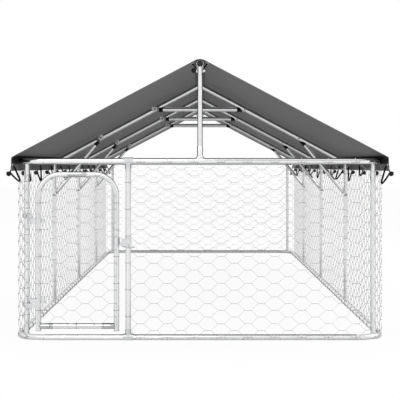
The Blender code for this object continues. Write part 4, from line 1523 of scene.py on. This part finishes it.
@dataclass
class Walls:
    """All the nets of the kennel, and the wire ties that hold them."""

    sizes: KennelSizes = SIZES
    mesh: Netting = Netting()
    low: float = 0.004
    high: float = 0.952
    front_column: float = -0.3144
    front_columns: int = 16
    side_column: float = 0.02
    back_column: float = 0.035
    corner_steps: int = 10
    front_gap: float = 0.001
    first_tie: float = 0.05
    foot_tie_lift: float = 0.0012
    door_post_tie_z: float = 0.1252
    corner_tie_z: float = 0.1304
    side_tie_z: float = 0.160

    def build(self) -> None:
        """Make the nets and the ties."""
        self.front()
        self.back()
        self.sides()
        self.corners()
        self.ties()

    def net(self, name: str, node: str, width: float, lay: Lay, steps: int = 1, **options: Any) -> None:
        """Make one net of the walls, with straight wires along its upper and lower edges.

        Args:
            name: The piece's name.
            node: The CAD node that it stands for.
            width: Its length along the wall.
            lay: Turns a point (along, up, out) into a place.
            steps: Number of stretches of the straight wires.
            options: Other values of the WallNet.
        """
        stations = [width * i / steps for i in range(steps + 1)]
        edges = [[(s, z) for s in stations] for z in (self.low, self.high)]
        net = WallNet(name, node, Body.KENNEL, width, self.low, self.high, lay, edges=edges, **options)
        net.build()

    def front(self) -> None:
        """The net from the door post to the right corner."""
        s = self.sizes
        left, right = s.door_post_x + s.post_radius + self.front_gap, s.bend_x
        y = -s.half_length - self.mesh.offset
        self.net(
            "front_net",
            "netting_front",
            right - left,
            lambda a, z, out: (left + a, y - out, z),
            shift=self.front_column - left,
        )

    def back(self) -> None:
        """The net across the far end."""
        s = self.sizes
        y = s.half_length + self.mesh.offset
        self.net(
            "back_net",
            "netting_back",
            2 * s.bend_x,
            lambda a, z, out: (s.bend_x - a, y + out, z),
            shift=self.back_column,
        )

    def sides(self) -> None:
        """The long nets on both sides, in a near-black copy of the netting wire: painted shade."""
        s = self.sizes
        for side, sign in SIDES:
            x = sign * (s.half_width + self.mesh.offset)
            self.net(
                f"{side}_net",
                f"netting_{side}",
                2 * s.bend_y,
                lambda a, z, out: (x + sign * out, sign * (a - s.bend_y), z),
                shift=self.side_column,
                finish=Finish.SHADED_NET_WIRE,
                wire=self.mesh.side_wire,
            )

    def corners(self) -> None:
        """The nets round the four corners."""
        x, y = self.sizes.bend_x, self.sizes.bend_y
        self.corner("front_right", (x, -y), -90.0, 0.0)
        self.corner("back_right", (x, y), 0.0, 90.0)
        self.corner("back_left", (-x, y), 90.0, 180.0)
        self.corner("front_left", (-x, -y), 180.0, 238.0)

    def corner(self, label: str, middle: tuple[float, float], start: float, end: float) -> None:
        """Make one corner's net. The right front one runs on from the front net's columns and keeps the
        pale wire; the others take a near-black copy, painted shade.

        Args:
            label: The corner's name.
            middle: The middle of its bend.
            start: Its first angle in degrees.
            end: Its last angle in degrees.
        """
        s = self.sizes
        radius = s.corner_radius + self.mesh.offset
        last_column = self.front_column + self.front_columns * self.mesh.cell
        seen = label == "front_right"

        def lay(a: float, z: float, out: float) -> Point:
            """Fold a point round the corner.

            Args:
                a: How far along the net.
                z: How far up.
                out: How far out of the net.

            Returns:
                Its place.
            """
            angle = math.radians(start) + a / radius
            reach = radius + out
            return (middle[0] + reach * math.cos(angle), middle[1] + reach * math.sin(angle), z)

        self.net(
            f"corner_net_{label}",
            f"netting_corner_{label}",
            radius * math.radians(end - start),
            lay,
            self.corner_steps,
            shift=last_column - s.bend_x if seen else self.side_column,
            finish=Finish.WIRE if seen else Finish.SHADED_NET_WIRE,
            wire=self.mesh.side_wire if seen else self.mesh.wire,
        )

    def ties(self) -> None:
        """Wire ties that hold the nets to the tubes, two cells apart: a dark copy of the tie wire paints
        shade on the sides, a pale copy paints light at the ends and on the front right post.
        """
        s = self.sizes
        pitch, reach = 2 * self.mesh.cell, self.mesh.tie_reach
        paths: list[Path] = []
        end_paths: list[Path] = []
        rail, post = s.rail_radius + reach, s.post_radius + reach
        for z in (s.bottom_z + self.foot_tie_lift, s.top_z):
            for sign in (-1, 1):
                x = self.front_column if sign < 0 else -s.bend_x + self.first_tie
                while x < s.bend_x:
                    end_paths.append(wire_tie(Vector((x, sign * s.half_length, z)), X_AXIS, rail))
                    x += pitch
                y = -s.bend_y + self.first_tie
                while y < s.bend_y:
                    paths.append(wire_tie(Vector((sign * s.half_width, y, z)), Y_AXIS, rail))
                    y += pitch
        posts = [(s.door_post_x, -s.half_length, self.door_post_tie_z)]
        post_x, post_y = s.half_width - s.post_inset, s.half_length - s.post_inset
        for sign in (-1, 1):
            for turn in (-1, 1):
                posts.append((turn * post_x, sign * post_y, self.corner_tie_z))
            posts.extend((sign * s.half_width, y, self.side_tie_z) for y in s.frame_ys)
        for x, y, z in posts:
            pale = x > 0 and y < s.frame_ys[0]
            while z < s.top_z - self.first_tie:
                (end_paths if pale else paths).append(wire_tie(Vector((x, y, z)), Z_AXIS, post))
                z += pitch
        wire, sides = self.mesh.tie_wire, self.mesh.wire_sides
        piece = SHOP.sweep("wire_ties", paths, wire, Finish.SHADED_TIE, sides)
        SHOP.place(piece, Body.KENNEL, Slot.WIRE)
        # The ties on the end rails and the front right post take the pale finish: painted light.
        piece = SHOP.sweep("bright_wire_ties", end_paths, wire, Finish.PLATE, sides)
        SHOP.place(piece, Body.KENNEL, Slot.WIRE)


# Roof


@dataclass
class RoofSheet:
    """The sheet over the ridge and the side rails, with its hem, grommets and near-black bands inside the
    eave folds: painted shade.

    The sheet sags a little between the roof frames and puckers at each bungee.
    """

    sizes: KennelSizes = SIZES
    half_length: float = 3.038
    skirt_x: float = 0.9930
    skirt_low: float = 0.8962
    apex_z: float = 1.4841
    eave_z: float = 0.9672
    eave_radius: float = 0.0143
    fold_radius: float = 0.0555
    sag: float = 0.007
    thickness: float = 0.0008
    stations: int = 244
    hem_band: float = 0.022
    hem_lift: float = 0.0013
    hem_over: float = 0.0004
    shade_band_x: float = 0.972
    shade_band_gap: float = 0.0016
    shade_band_thickness: float = 0.0009
    shade_band_fold_x: float = 0.980
    shade_band_inset: float = 0.002
    shade_band_from_y: float = -2.9
    shade_band_pitch: float = 0.1
    shade_band_rows: int = 59
    grommet_z: float = 0.926
    ridge_grommet_drop: float = 0.0148
    ridge_steps: int = 8
    slope_steps: int = 22
    eave_steps: int = 10
    skirt_steps: int = 5

    @property
    def slope(self) -> float:
        """The roof's slope, from the ridge's fold to the eave's sharp corner.

        Returns:
            The angle in radians.
        """
        rise = self.apex_z - self.fold_radius - self.eave_z
        lean = math.asin(self.fold_radius / math.hypot(self.skirt_x, rise))
        return math.atan2(rise, self.skirt_x) + lean

    def profile(self) -> list[tuple[float, float]]:
        """Half of the cross-section, from the ridge down to the skirt's edge.

        Returns:
            Points (across, up).
        """
        lean = 90.0 - math.degrees(self.slope)
        fold = (0.0, self.apex_z - self.fold_radius)
        ridge = arc(fold, self.fold_radius, 90.0, lean, self.ridge_steps)
        start = ridge[-1]
        reach = self.eave_radius * math.tan((math.pi / 2 - self.slope) / 2)
        centre = (self.skirt_x - self.eave_radius, self.eave_z - reach)
        eave = arc(centre, self.eave_radius, lean, 0.0, self.eave_steps)
        steps = self.slope_steps
        slope_points = [
            tuple(a + (b - a) * i / steps for a, b in zip(start, eave[0])) for i in range(1, steps)
        ]
        top, steps = eave[-1][1], self.skirt_steps
        skirt = [(self.skirt_x, top + (self.skirt_low - top) * i / steps) for i in range(1, steps + 1)]
        return ridge + slope_points + eave + skirt

    def depth(self, x: float, z: float, y: float) -> float:
        """How far the sheet hangs in at a point.

        Args:
            x: Distance from the middle.
            z: Height.
            y: Place along the kennel.

        Returns:
            The distance along the sheet's inward normal.
        """
        eave_x, skirt_from_x, skirt_from_z, skirt_depth = 0.93, 0.9, 0.95, 0.05
        ripple_across, ripple_along, ripple_depth = 3.0, 1.7, 0.0025
        pucker_width, pucker_depth, wave_depth, wave_rate = 0.045, 0.004, 0.0015, 23.0
        bay = abs(math.sin(math.pi * y / self.sizes.bay))
        belly = max(0.0, math.sin(math.pi * min(1.0, max(0.0, x / eave_x))))
        hang = self.sag * bay * belly
        ripple = noise.noise(Vector((x * ripple_across, y * ripple_along, z))) * ripple_depth * belly
        low = max(0.0, (skirt_from_z - z) / skirt_depth) if x > skirt_from_x else 0.0
        pucker = 0.0
        for place in self.sizes.bungee_ys:
            pucker = max(pucker, math.exp(-(((y - place) / pucker_width) ** 2)))
        return hang + ripple + low * (pucker_depth * pucker + wave_depth * math.sin(y * wave_rate))

    def station_ys(self) -> list[float]:
        """Places along the kennel where the sheet has a row of points."""
        return [self.half_length * (2 * i / self.stations - 1) for i in range(self.stations + 1)]

    def build(self) -> None:
        """Make the sheet and what is on it."""
        half = self.profile()
        section = [(-x, z) for x, z in half[:0:-1]] + half
        lengths = [0.0]
        for a, b in zip(section, section[1:]):
            lengths.append(lengths[-1] + math.dist(a, b))
        builder = bmesh.new()
        builder.loops.layers.uv.new("weave")
        rows, maps = [], {}
        for y in self.station_ys():
            row = []
            for (x, z), inward, length in zip(section, right_normals(section), lengths):
                near = self.depth(abs(x), z, y)
                vert = builder.verts.new((x + inward.x * near, y, z + inward.y * near))
                maps[vert] = (length, y)
                row.append(vert)
            rows.append(row)
        skin_rows(builder, rows, maps.get)
        bmesh.ops.recalc_face_normals(builder, faces=builder.faces)
        mesh = bpy.data.meshes.new("roof_sheet")
        builder.to_mesh(mesh)
        builder.free()
        mesh.shade_smooth()
        mesh.materials.append(PALETTE.get(Finish.SHEET))
        sheet = new_object("roof_sheet", mesh)
        wall = sheet.modifiers.new("wall", "SOLIDIFY")
        wall.thickness = self.thickness
        wall.offset = 0.0
        SHOP.place(sheet, Body.KENNEL, Slot.SHEET, ["tarp_roof"])
        hems = self.hems(section)
        eave_shades = self.eave_shade_bands(half)
        grommets = self.grommets()

    def hems(self, section: Sequence[tuple[float, float]]) -> bpy.types.Object:
        """The folded hems, as flat bands along all four edges.

        Args:
            section: The sheet's cross-section.

        Returns:
            The hem piece.
        """
        builder = bmesh.new()
        builder.loops.layers.uv.new("weave")
        band, lift, over = self.hem_band, self.hem_lift, self.hem_over

        def strip(lines: list[list[Point]]) -> None:
            """Add a band from rows of points."""
            skin_rows(builder, [[builder.verts.new(point) for point in line] for line in lines])

        for sign in (-1, 1):
            lines = []
            for y in self.station_ys():
                line = []
                for z in (self.skirt_low - over, self.skirt_low + band):
                    for side in (1, -1):
                        near = self.depth(self.skirt_x, max(z, self.skirt_low), y)
                        line.append((sign * (self.skirt_x - near + side * lift), y, z))
                lines.append([line[0], line[2], line[3], line[1], line[0]])
            strip(lines)
        for sign in (-1, 1):
            lines = []
            for y in (sign * (self.half_length + over), sign * (self.half_length - band)):
                for side in (1, -1):
                    line = []
                    for (x, z), normal in zip(section, right_normals(section)):
                        inward = normal * (self.depth(abs(x), z, y) - side * lift)
                        line.append((x + inward.x, y, z + inward.y))
                    lines.append(line)
            strip([lines[0], lines[2], lines[3], lines[1], lines[0]])
        piece = SHOP.mesh_piece("roof_sheet_hem", builder, Finish.SHEET, 50.0)
        return SHOP.place(piece, Body.KENNEL, Slot.SHEET)

    def eave_shade_bands(self, half: Sequence[tuple[float, float]]) -> bpy.types.Object:
        """Near-black bands inside the folds over the side rails: painted shade where the folds are dark.

        Args:
            half: Half of the sheet's cross-section.

        Returns:
            The painted shade bands.
        """
        builder = bmesh.new()
        builder.loops.layers.uv.new("weave")
        fold = [(x, z) for x, z in half if x > self.shade_band_fold_x and z > self.grommet_z]
        first = (self.shade_band_x, fold[0][1] + (fold[0][0] - self.shade_band_x) * math.tan(self.slope))
        line = [first, *fold]
        end = self.half_length - self.shade_band_inset
        ys = [self.shade_band_from_y + self.shade_band_pitch * i for i in range(self.shade_band_rows)]
        for sign in (-1, 1):
            rows = []
            for y in (-end, *ys, end):
                row = []
                for (x, z), normal in zip(line, right_normals(line)):
                    inward = normal * (self.depth(x, z, y) + self.shade_band_gap)
                    row.append(builder.verts.new((sign * (x + inward.x), y, z + inward.y)))
                rows.append(row)
            skin_rows(builder, rows)
        bmesh.ops.solidify(builder, geom=builder.faces[:], thickness=self.shade_band_thickness)
        piece = SHOP.mesh_piece("roof_rub_strips", builder, Finish.SHADE_BAND, 50.0)
        return SHOP.place(piece, Body.KENNEL, Slot.SHEET)

    def grommets(self) -> bpy.types.Object:
        """Metal eyelets along the skirts and at both ends of the ridge.

        Returns:
            The grommets.
        """
        outline = [
            (0.0050, 0.0022), (0.0085, 0.0026), (0.0105, 0.0014), (0.0108, 0.0), (0.0105, -0.0014),
            (0.0085, -0.0026), (0.0050, -0.0022), (0.0045, 0.0), (0.0050, 0.0022),
        ]
        master = SHOP.turned("grommet_master", outline, Finish.GROMMET, 16)
        places: list[tuple[Point, Point]] = []
        for sign in (-1, 1):
            for y in self.sizes.bungee_ys:
                near = self.depth(self.skirt_x, self.grommet_z, y)
                places.append(((sign * (self.skirt_x - near), y, self.grommet_z), (0.0, math.pi / 2, 0.0)))
        for sign in (-1, 1):
            for turn in (-1, 1):
                x, y = self.sizes.ridge_grommet
                place = (turn * x, sign * y, self.apex_z - self.ridge_grommet_drop)
                places.append((place, (0.0, self.slope * turn, 0.0)))
        piece = SHOP.scatter("grommets", master, places, Finish.GROMMET)
        return SHOP.place(piece, Body.KENNEL, Slot.ZINC)


@dataclass
class Bungees:
    """Ball bungees that hold the sheet down: an elastic loop through a grommet and a ball."""

    sizes: KennelSizes = SIZES
    ball_radius: float = 0.0132
    ball_x: float = 1.0128
    ball_z: float = 0.8805
    cord_radius: float = 0.0032
    cord_sides: int = 8
    apart: float = 0.0017
    hanging_knots: int = 6
    hanging_gap: float = 0.0012
    eave_gap: float = 0.0033
    ridge_gap: float = 0.0034
    ridge_lean: float = 0.7
    ridge_ball_x: float = -0.0330
    ridge_ball_past: float = 0.009
    left_hang: tuple[tuple[float, float], ...] = (
        (0.957, 0.8425), (0.975, 0.836), (0.984, 0.831), (0.976, 0.834),
    )
    right_hang: tuple[tuple[float, float], ...] = (
        (0.964, 0.8305), (0.985, 0.840), (0.990, 0.862), (0.986, 0.824),
    )

    def hank(self, sign: int, y: float, low: tuple[float, float]) -> list[Path]:
        """The two strands of one loop, from its ball down, up to its grommet and out to the ball.

        Args:
            sign: The side, -1 or 1.
            y: Place along the kennel.
            low: Where the loop hangs lowest, from the middle and up.

        Returns:
            The strands.
        """
        x, z = low
        knots = [
            (1.0075, 0.8895),
            (x + 0.62 * (1.005 - x), z + 0.52 * (0.889 - z)),
            (x + 0.22 * (1.005 - x), z + 0.13 * (0.889 - z)),
            (x - 0.0005, z),
            (x - 0.0035, z + 0.0075),
            (x + 0.45 * (0.984 - x) - 0.002, z + 0.50 * (0.918 - z)),
            (0.9845, 0.9190),
            (0.9920, 0.9268),
            (0.9985, 0.9215),
            (0.9990, 0.9040),
            (1.0062, 0.8905),
        ]
        paths = []
        for strand in (-1, 1):
            points = []
            for i, ((a, b), aside) in enumerate(zip(knots, right_normals(knots))):
                hangs = i < self.hanging_knots
                wide = self.apart if hangs else 0.0
                deep = strand * (self.hanging_gap if hangs else self.eave_gap)
                across, up = a - strand * aside.x * wide, b - strand * aside.y * wide
                points.append(Vector((sign * across, y + deep, up)))
            paths.append(smooth_path(points, 4))
        return paths

    def build(self) -> None:
        """Make every bungee."""
        s = self.sizes
        cords: list[Path] = []
        balls: list[tuple[Point, Point]] = []
        for sign, hangs in ((-1, self.left_hang), (1, self.right_hang)):
            for index, y in enumerate(s.bungee_ys):
                cords.extend(self.hank(sign, y, hangs[index % len(hangs)]))
                balls.append(((sign * self.ball_x, y, self.ball_z), (0.0, sign * 0.9, 0.3 * index)))
        for sign in (-1, 1):
            for turn in (-1, 1):
                for strand in (-1, 1):
                    bar = [
                        (turn * s.ridge_grommet[0], s.ridge_grommet[1], 1.4690),
                        (turn * 0.0368, 2.984, 1.4610),
                        (turn * 0.0290, 2.990, 1.4505),
                        (turn * 0.0185, 3.000, 1.4395),
                        (turn * 0.0172, 3.006, 1.4340),
                    ]
                    shift = strand * self.ridge_gap
                    lean = self.ridge_lean
                    points = [
                        Vector((x + shift * turn * lean, sign * y, z + shift * lean)) for x, y, z in bar
                    ]
                    cords.append(smooth_path(points, 3))
            place = (self.ridge_ball_x, sign * (s.half_length + self.ridge_ball_past), s.clamp_bolt_z)
            balls.append((place, (math.pi / 2, 0.0, 0.0)))
        cord = SHOP.sweep("bungee_cords", cords, self.cord_radius, Finish.CORD, self.cord_sides)
        SHOP.place(cord, Body.KENNEL, Slot.SHEET)
        r = self.ball_radius
        outline = [(0.0, -r)]
        outline += [(r * math.sin(a), -r * math.cos(a)) for a in (math.pi * i / 14 for i in range(1, 13))]
        outline += [(0.0048, r * 0.93), (0.0044, r * 1.06), (0.0032, r * 1.10), (0.0, r * 1.10)]
        master = SHOP.turned("ball_master", outline, Finish.BALL, 18)
        piece = SHOP.scatter("bungee_balls", master, balls, Finish.BALL)
        SHOP.place(piece, Body.KENNEL, Slot.SHEET)


def smooth_path(points: Sequence[Vector], steps: int) -> Path:
    """A smooth run through points.

    Args:
        points: The points that it passes through.
        steps: Stretches between two of them.

    Returns:
        The run.
    """
    run: Path = []
    last = len(points) - 1
    for i in range(last):
        a, b = points[max(i - 1, 0)], points[i]
        c, d = points[i + 1], points[min(i + 2, last)]
        for step in range(steps):
            t = step / steps
            square, cube = 2 * a - 5 * b + 4 * c - d, 3 * b - a - 3 * c + d
            run.append(tuple(0.5 * (2 * b + (c - a) * t + square * t * t + cube * t**3)))
    run.append(tuple(points[last]))
    return run


# Door


@dataclass
class Door:
    """The arched tube door with its cross tube, net and ties."""

    sizes: KennelSizes = SIZES
    mesh: Netting = Netting()
    bend_steps: int = 16
    sides: int = 24
    arch_sleeve: float = 0.098
    arch_sleeve_x: float = -0.6985
    cross_sleeve: float = 0.066
    overlap: float = 0.002
    net_gap: float = 0.0016
    net_column: float = 0.0355
    side_tie_z: float = 0.1585
    side_tie_end_z: float = 0.80
    foot_tie_inset: float = 0.06

    def arch(self, inset: float) -> list[tuple[float, float]]:
        """The door's outline from its left foot over the top to its right foot.

        Args:
            inset: How far inside the tube's axis.

        Returns:
            Points (across, up).
        """
        s = self.sizes
        left, right, top = s.door_left_x + inset, s.door_right_x - inset, s.door_top_z - inset
        r = s.door_corner - inset
        run = [(left, s.door_foot_z)]
        run += arc((left + r, top - r), r, 180.0, 90.0, self.bend_steps)
        run += arc((right - r, top - r), r, 90.0, 0.0, self.bend_steps)
        run.append((right, s.door_foot_z))
        return run

    def build(self) -> None:
        """Make the door."""
        s = self.sizes
        y = -s.half_length
        run = [(x, y, z) for x, z in self.arch(0.0)]
        arch_tube = SHOP.sweep("door_arch_run", [run], s.post_radius, Finish.POST, self.sides)
        joint = self.sleeve("door_arch_sleeve", self.arch_sleeve)
        SHOP.shift(joint, Matrix.Translation((self.arch_sleeve_x, y, s.door_top_z)))
        arched = SHOP.join("door_arch_tube", [arch_tube, joint])
        SHOP.place(arched, Body.DOOR, Slot.TUBE, ["door_frame"])
        left = s.door_left_x + s.post_radius - self.overlap
        right = s.door_right_x - s.post_radius + self.overlap
        run = [(left, y, s.cross_z), (right, y, s.cross_z)]
        bar = SHOP.sweep("cross_tube_bar", [run], s.post_radius, Finish.TUBE, self.sides)
        sleeves = []
        for start in (left, right - self.cross_sleeve):
            sleeve = self.sleeve("cross_tube_sleeve", self.cross_sleeve)
            SHOP.shift(sleeve, Matrix.Translation((start, y, s.cross_z)))
            sleeves.append(sleeve)
        cross = SHOP.join("door_cross_bar", [bar, *sleeves])
        SHOP.place(cross, Body.DOOR, Slot.TUBE, ["door_cross_tube"])
        self.net()
        self.ties()

    def sleeve(self, name: str, length: float) -> bpy.types.Object:
        """A joint sleeve round a door tube, from the origin along X.

        Args:
            name: The piece's name.
            length: The sleeve's length.

        Returns:
            The piece.
        """
        r, bevel = self.sizes.post_radius, 0.0008
        bore, edge, outside = r + 0.0002, r + 0.0011, r + 0.0014
        outline = [(bore, 0.0), (edge, 0.0), (outside, bevel), (outside, length - bevel)]
        outline += [(edge, length), (bore, length), (bore, 0.0)]
        return SHOP.turned(name, outline, Finish.SLEEVE, 28, Axis.X)

    def net(self) -> None:
        """The net on the door's outer side."""
        s = self.sizes
        y = -s.half_length - s.post_radius - self.net_gap
        width = s.door_right_x - s.door_left_x
        r = s.door_corner

        def inside(a: float, z: float) -> float:
            """How far a point lies inside the door's axis line.

            Args:
                a: How far along the net.
                z: How far up.

            Returns:
                The distance, below zero outside.
            """
            x = s.door_left_x + a
            edge = min(a, width - a, z - s.cross_z, s.door_top_z - z)
            for side, centre_x in ((-1, s.door_left_x + r), (1, s.door_right_x - r)):
                beyond_x = side * (x - centre_x)
                beyond_z = z - (s.door_top_z - r)
                if beyond_x > 0 and beyond_z > 0:
                    edge = min(edge, r - math.hypot(beyond_x, beyond_z))
            return edge

        rim = [(x - s.door_left_x, z) for x, z in self.arch(0.0)[1:-1]]
        rim = [(0.0, s.cross_z), *rim, (width, s.cross_z)]
        WallNet(
            "door_net",
            "netting_door",
            Body.DOOR,
            width,
            s.cross_z,
            s.door_top_z,
            lambda a, z, out: (s.door_left_x + a, y - out, z),
            shift=self.net_column,
            inside=inside,
            edges=[rim, [(0.0, s.cross_z), (width, s.cross_z)]],
        ).build()

    def ties(self) -> None:
        """Wire ties on the door's tubes, in the dark copy of the tie wire: painted shade."""
        s = self.sizes
        y, radius = -s.half_length, s.post_radius + self.mesh.tie_reach
        paths: list[Path] = []
        for x in (s.door_left_x, s.door_right_x):
            z = self.side_tie_z
            while z < self.side_tie_end_z:
                paths.append(wire_tie(Vector((x, y, z)), Z_AXIS, radius))
                z += 2 * self.mesh.cell
        for i in range(3):
            x = s.door_left_x + self.foot_tie_inset + i * 2 * self.mesh.cell
            paths.append(wire_tie(Vector((x, y, s.cross_z)), X_AXIS, radius))
        wire, sides = self.mesh.tie_wire, self.mesh.wire_sides
        piece = SHOP.sweep("door_wire_ties", paths, wire, Finish.SHADED_TIE, sides)
        SHOP.place(piece, Body.DOOR, Slot.WIRE)


# Fittings


@dataclass
class Fittings:
    """The CAD's clamps, hinges and latch keep their solids and get their finish here."""

    sizes: KennelSizes = SIZES
    lip_radius: float = 0.0016
    lip_gap: float = 0.0090
    lip_sides: int = 10
    plug_past: float = 0.0215
    nut_left_x: float = -0.0165
    nut_right_x: float = 0.0170

    def build(self) -> None:
        """Dress the nodes that stay and add the small fasteners."""
        hardware = ("hinge_", "latch_", "ridge_clamp", "door_post_clamp")
        for name, node in frame["nodes"].items():
            if node.hide_render:
                continue
            finish = Finish.HARDWARE if name.startswith(hardware) else Finish.TUBE
            node.data.materials.clear()
            node.data.materials.append(PALETTE.get(finish))
            LOG.info("%s keeps its solid", name)
        self.end_plugs()
        self.latch_lip()

    def latch_lip(self) -> None:
        """The rolled lip under the latch plate, on both sides of its notch and out along its finger, in the
        dark tie wire finish: painted shade under the plate's edge.
        """
        runs = [[(-0.4075, 0.4990), (-0.3975, 0.4955), (-0.3885, 0.4934)]]
        runs.append([(-0.3738, 0.4912), (-0.3605, 0.4902), (-0.3520, 0.4920), (-0.3450, 0.4960)])
        y = -self.sizes.half_length - self.sizes.rail_radius - self.lip_gap
        paths = [[(x, y, z) for x, z in run] for run in runs]
        # The dark tie wire finish paints the shade under the latch plate's edge.
        lip = SHOP.sweep("latch_lip", paths, self.lip_radius, Finish.SHADED_TIE, self.lip_sides)
        SHOP.place(lip, Body.LATCH, Slot.ZINC)

    def end_plugs(self) -> None:
        """Black plugs in both ends of the ridge pole, and the nuts of the strap clamps' bolts."""
        s = self.sizes
        outline = [
            (0.0, 0.0026), (0.0120, 0.0024), (0.0152, 0.0014), (0.0163, 0.0), (0.0163, -0.0014),
            (0.0, -0.0014),
        ]
        plugs = []
        for sign in (-1, 1):
            plug = SHOP.turned("plug", outline, Finish.CAP, 28, Axis.Y)
            if sign < 0:
                SHOP.shift(plug, Matrix.Rotation(math.pi, 4, "Z"))
            SHOP.shift(plug, Matrix.Translation((0, sign * (s.half_length + self.plug_past), s.ridge_z)))
            plugs.append(plug)
        SHOP.place(SHOP.join("ridge_end_plugs", plugs), Body.KENNEL, Slot.SHEET)
        nuts = []
        for sign in (-1, 1):
            for x, turn in ((self.nut_right_x, math.pi / 2), (self.nut_left_x, -math.pi / 2)):
                nuts.append(((x, sign * s.half_length, s.clamp_bolt_z), (0.0, turn, 0.0)))
        master = SHOP.hex_bolt("ridge_nut_master", radius=0.0070, height=0.0100, sunk=0.001)
        SHOP.place(SHOP.scatter("ridge_clamp_nuts", master, nuts, Finish.GROMMET), Body.KENNEL, Slot.ZINC)


# Studio


@dataclass
class Studio:
    """Pale floor, soft light and the camera."""

    distance: float = 5.981
    eye_z: float = 0.922
    focal_px: float = 1129.8
    horizon_px: float = 165.97
    frame_px: float = 400.0
    sensor_mm: float = 36.0
    ambient: float = 0.72
    floor_size: float = 40.0
    floor_glow: float = 0.94
    floor_mirror: float = 0.15

    def build(self) -> None:
        """Set up the studio."""
        self.camera()
        self.world()
        self.floor()
        self.lamps()
        bpy.context.scene.view_settings.view_transform = "Standard"

    def camera(self) -> None:
        """The camera at the photograph's place."""
        data = bpy.data.cameras.new("camera")
        data.sensor_fit = "HORIZONTAL"
        data.sensor_width = self.sensor_mm
        data.lens = self.focal_px / self.frame_px * self.sensor_mm
        data.shift_y = (self.horizon_px - self.frame_px / 2) / self.frame_px
        data.clip_end = 60.0
        eye = new_object("camera", data)
        eye.location = (0.0, -SIZES.half_length - self.distance, self.eye_z)
        eye.rotation_euler = (math.pi / 2, 0.0, 0.0)
        bpy.context.scene.camera = eye

    def world(self) -> None:
        """White to the camera and in reflections, a plain level of light elsewhere."""
        world = bpy.data.worlds.new("studio")
        bpy.context.scene.world = world
        world.use_nodes = True
        tree = world.node_tree
        tree.nodes.clear()
        white = (1.0, 1.0, 1.0, 1.0)
        larger = {"operation": "MAXIMUM"}
        out = add_node(tree, "ShaderNodeOutputWorld")
        seen = add_node(tree, "ShaderNodeBackground", None, {0: white, 1: 1.0})
        light = add_node(tree, "ShaderNodeBackground", None, {0: white, 1: self.ambient})
        ray = add_node(tree, "ShaderNodeLightPath").outputs
        most = add_node(tree, "ShaderNodeMath", larger, {0: ray["Is Camera Ray"], 1: ray["Is Glossy Ray"]})
        also = add_node(tree, "ShaderNodeMath", larger, {0: most.outputs[0], 1: ray["Is Transmission Ray"]})
        shares = {0: also.outputs[0], 1: light.outputs[0], 2: seen.outputs[0]}
        mix = add_node(tree, "ShaderNodeMixShader", None, shares)
        tree.links.new(mix.outputs[0], out.inputs[0])

    def floor(self) -> None:
        """A pale floor that keeps the kennel's shadow."""
        builder = bmesh.new()
        bmesh.ops.create_grid(builder, x_segments=1, y_segments=1, size=self.floor_size)
        mesh = bpy.data.meshes.new("floor")
        builder.to_mesh(mesh)
        builder.free()
        floor = new_object("floor", mesh)
        bench = NodeBench("floor_white")
        diffuse = bench.add("ShaderNodeBsdfDiffuse", None, {"Color": (0.95, 0.95, 0.95, 1.0)})
        glow = bench.add("ShaderNodeEmission", None, {"Color": (1.0, 1.0, 1.0, 1.0), "Strength": 1.0})
        ray = bench.add("ShaderNodeLightPath").outputs
        sight, through, mirrored = (
            Signal(bench, ray[f"Is {kind} Ray"]) for kind in ("Camera", "Transmission", "Glossy")
        )
        seen = (sight.larger(through) * self.floor_glow).larger(mirrored * self.floor_mirror)
        mix = bench.add("ShaderNodeMixShader", None, {0: seen, 1: diffuse.outputs[0], 2: glow.outputs[0]})
        bench.tree.links.new(mix.outputs[0], bench.output.inputs[0])
        mesh.materials.append(bench.material)

    def lamps(self) -> None:
        """Large soft lamps above the front and at both sides."""
        for name, place, aim, size, power in (
            ("lamp_front", (-2.5, -9.0, 5.0), (0.0, -1.0, 0.4), 5.0, 190.0),
            ("lamp_right", (7.0, -2.0, 4.0), (0.0, 0.0, 0.5), 5.0, 130.0),
            ("lamp_top", (0.0, 1.0, 8.0), (0.0, 0.0, 0.5), 6.0, 170.0),
        ):
            data = bpy.data.lights.new(name, "AREA")
            data.size = size
            data.energy = power
            lamp = new_object(name, data)
            lamp.location = place
            lamp.rotation_euler = (Vector(aim) - Vector(place)).to_track_quat("-Z", "Y").to_euler()


def main() -> None:
    """Build the kennel piece by piece, then the studio round it."""
    logging.basicConfig(level=logging.INFO, format="%(name)s: %(message)s")
    TubeFrame().build()
    Bracing().build()
    Walls().build()
    RoofSheet().build()
    Bungees().build()
    Door().build()
    Fittings().build()
    Studio().build()
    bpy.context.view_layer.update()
    LOG.info("%d pieces placed", SHOP.count)


if __name__ == "__main__":
    main()
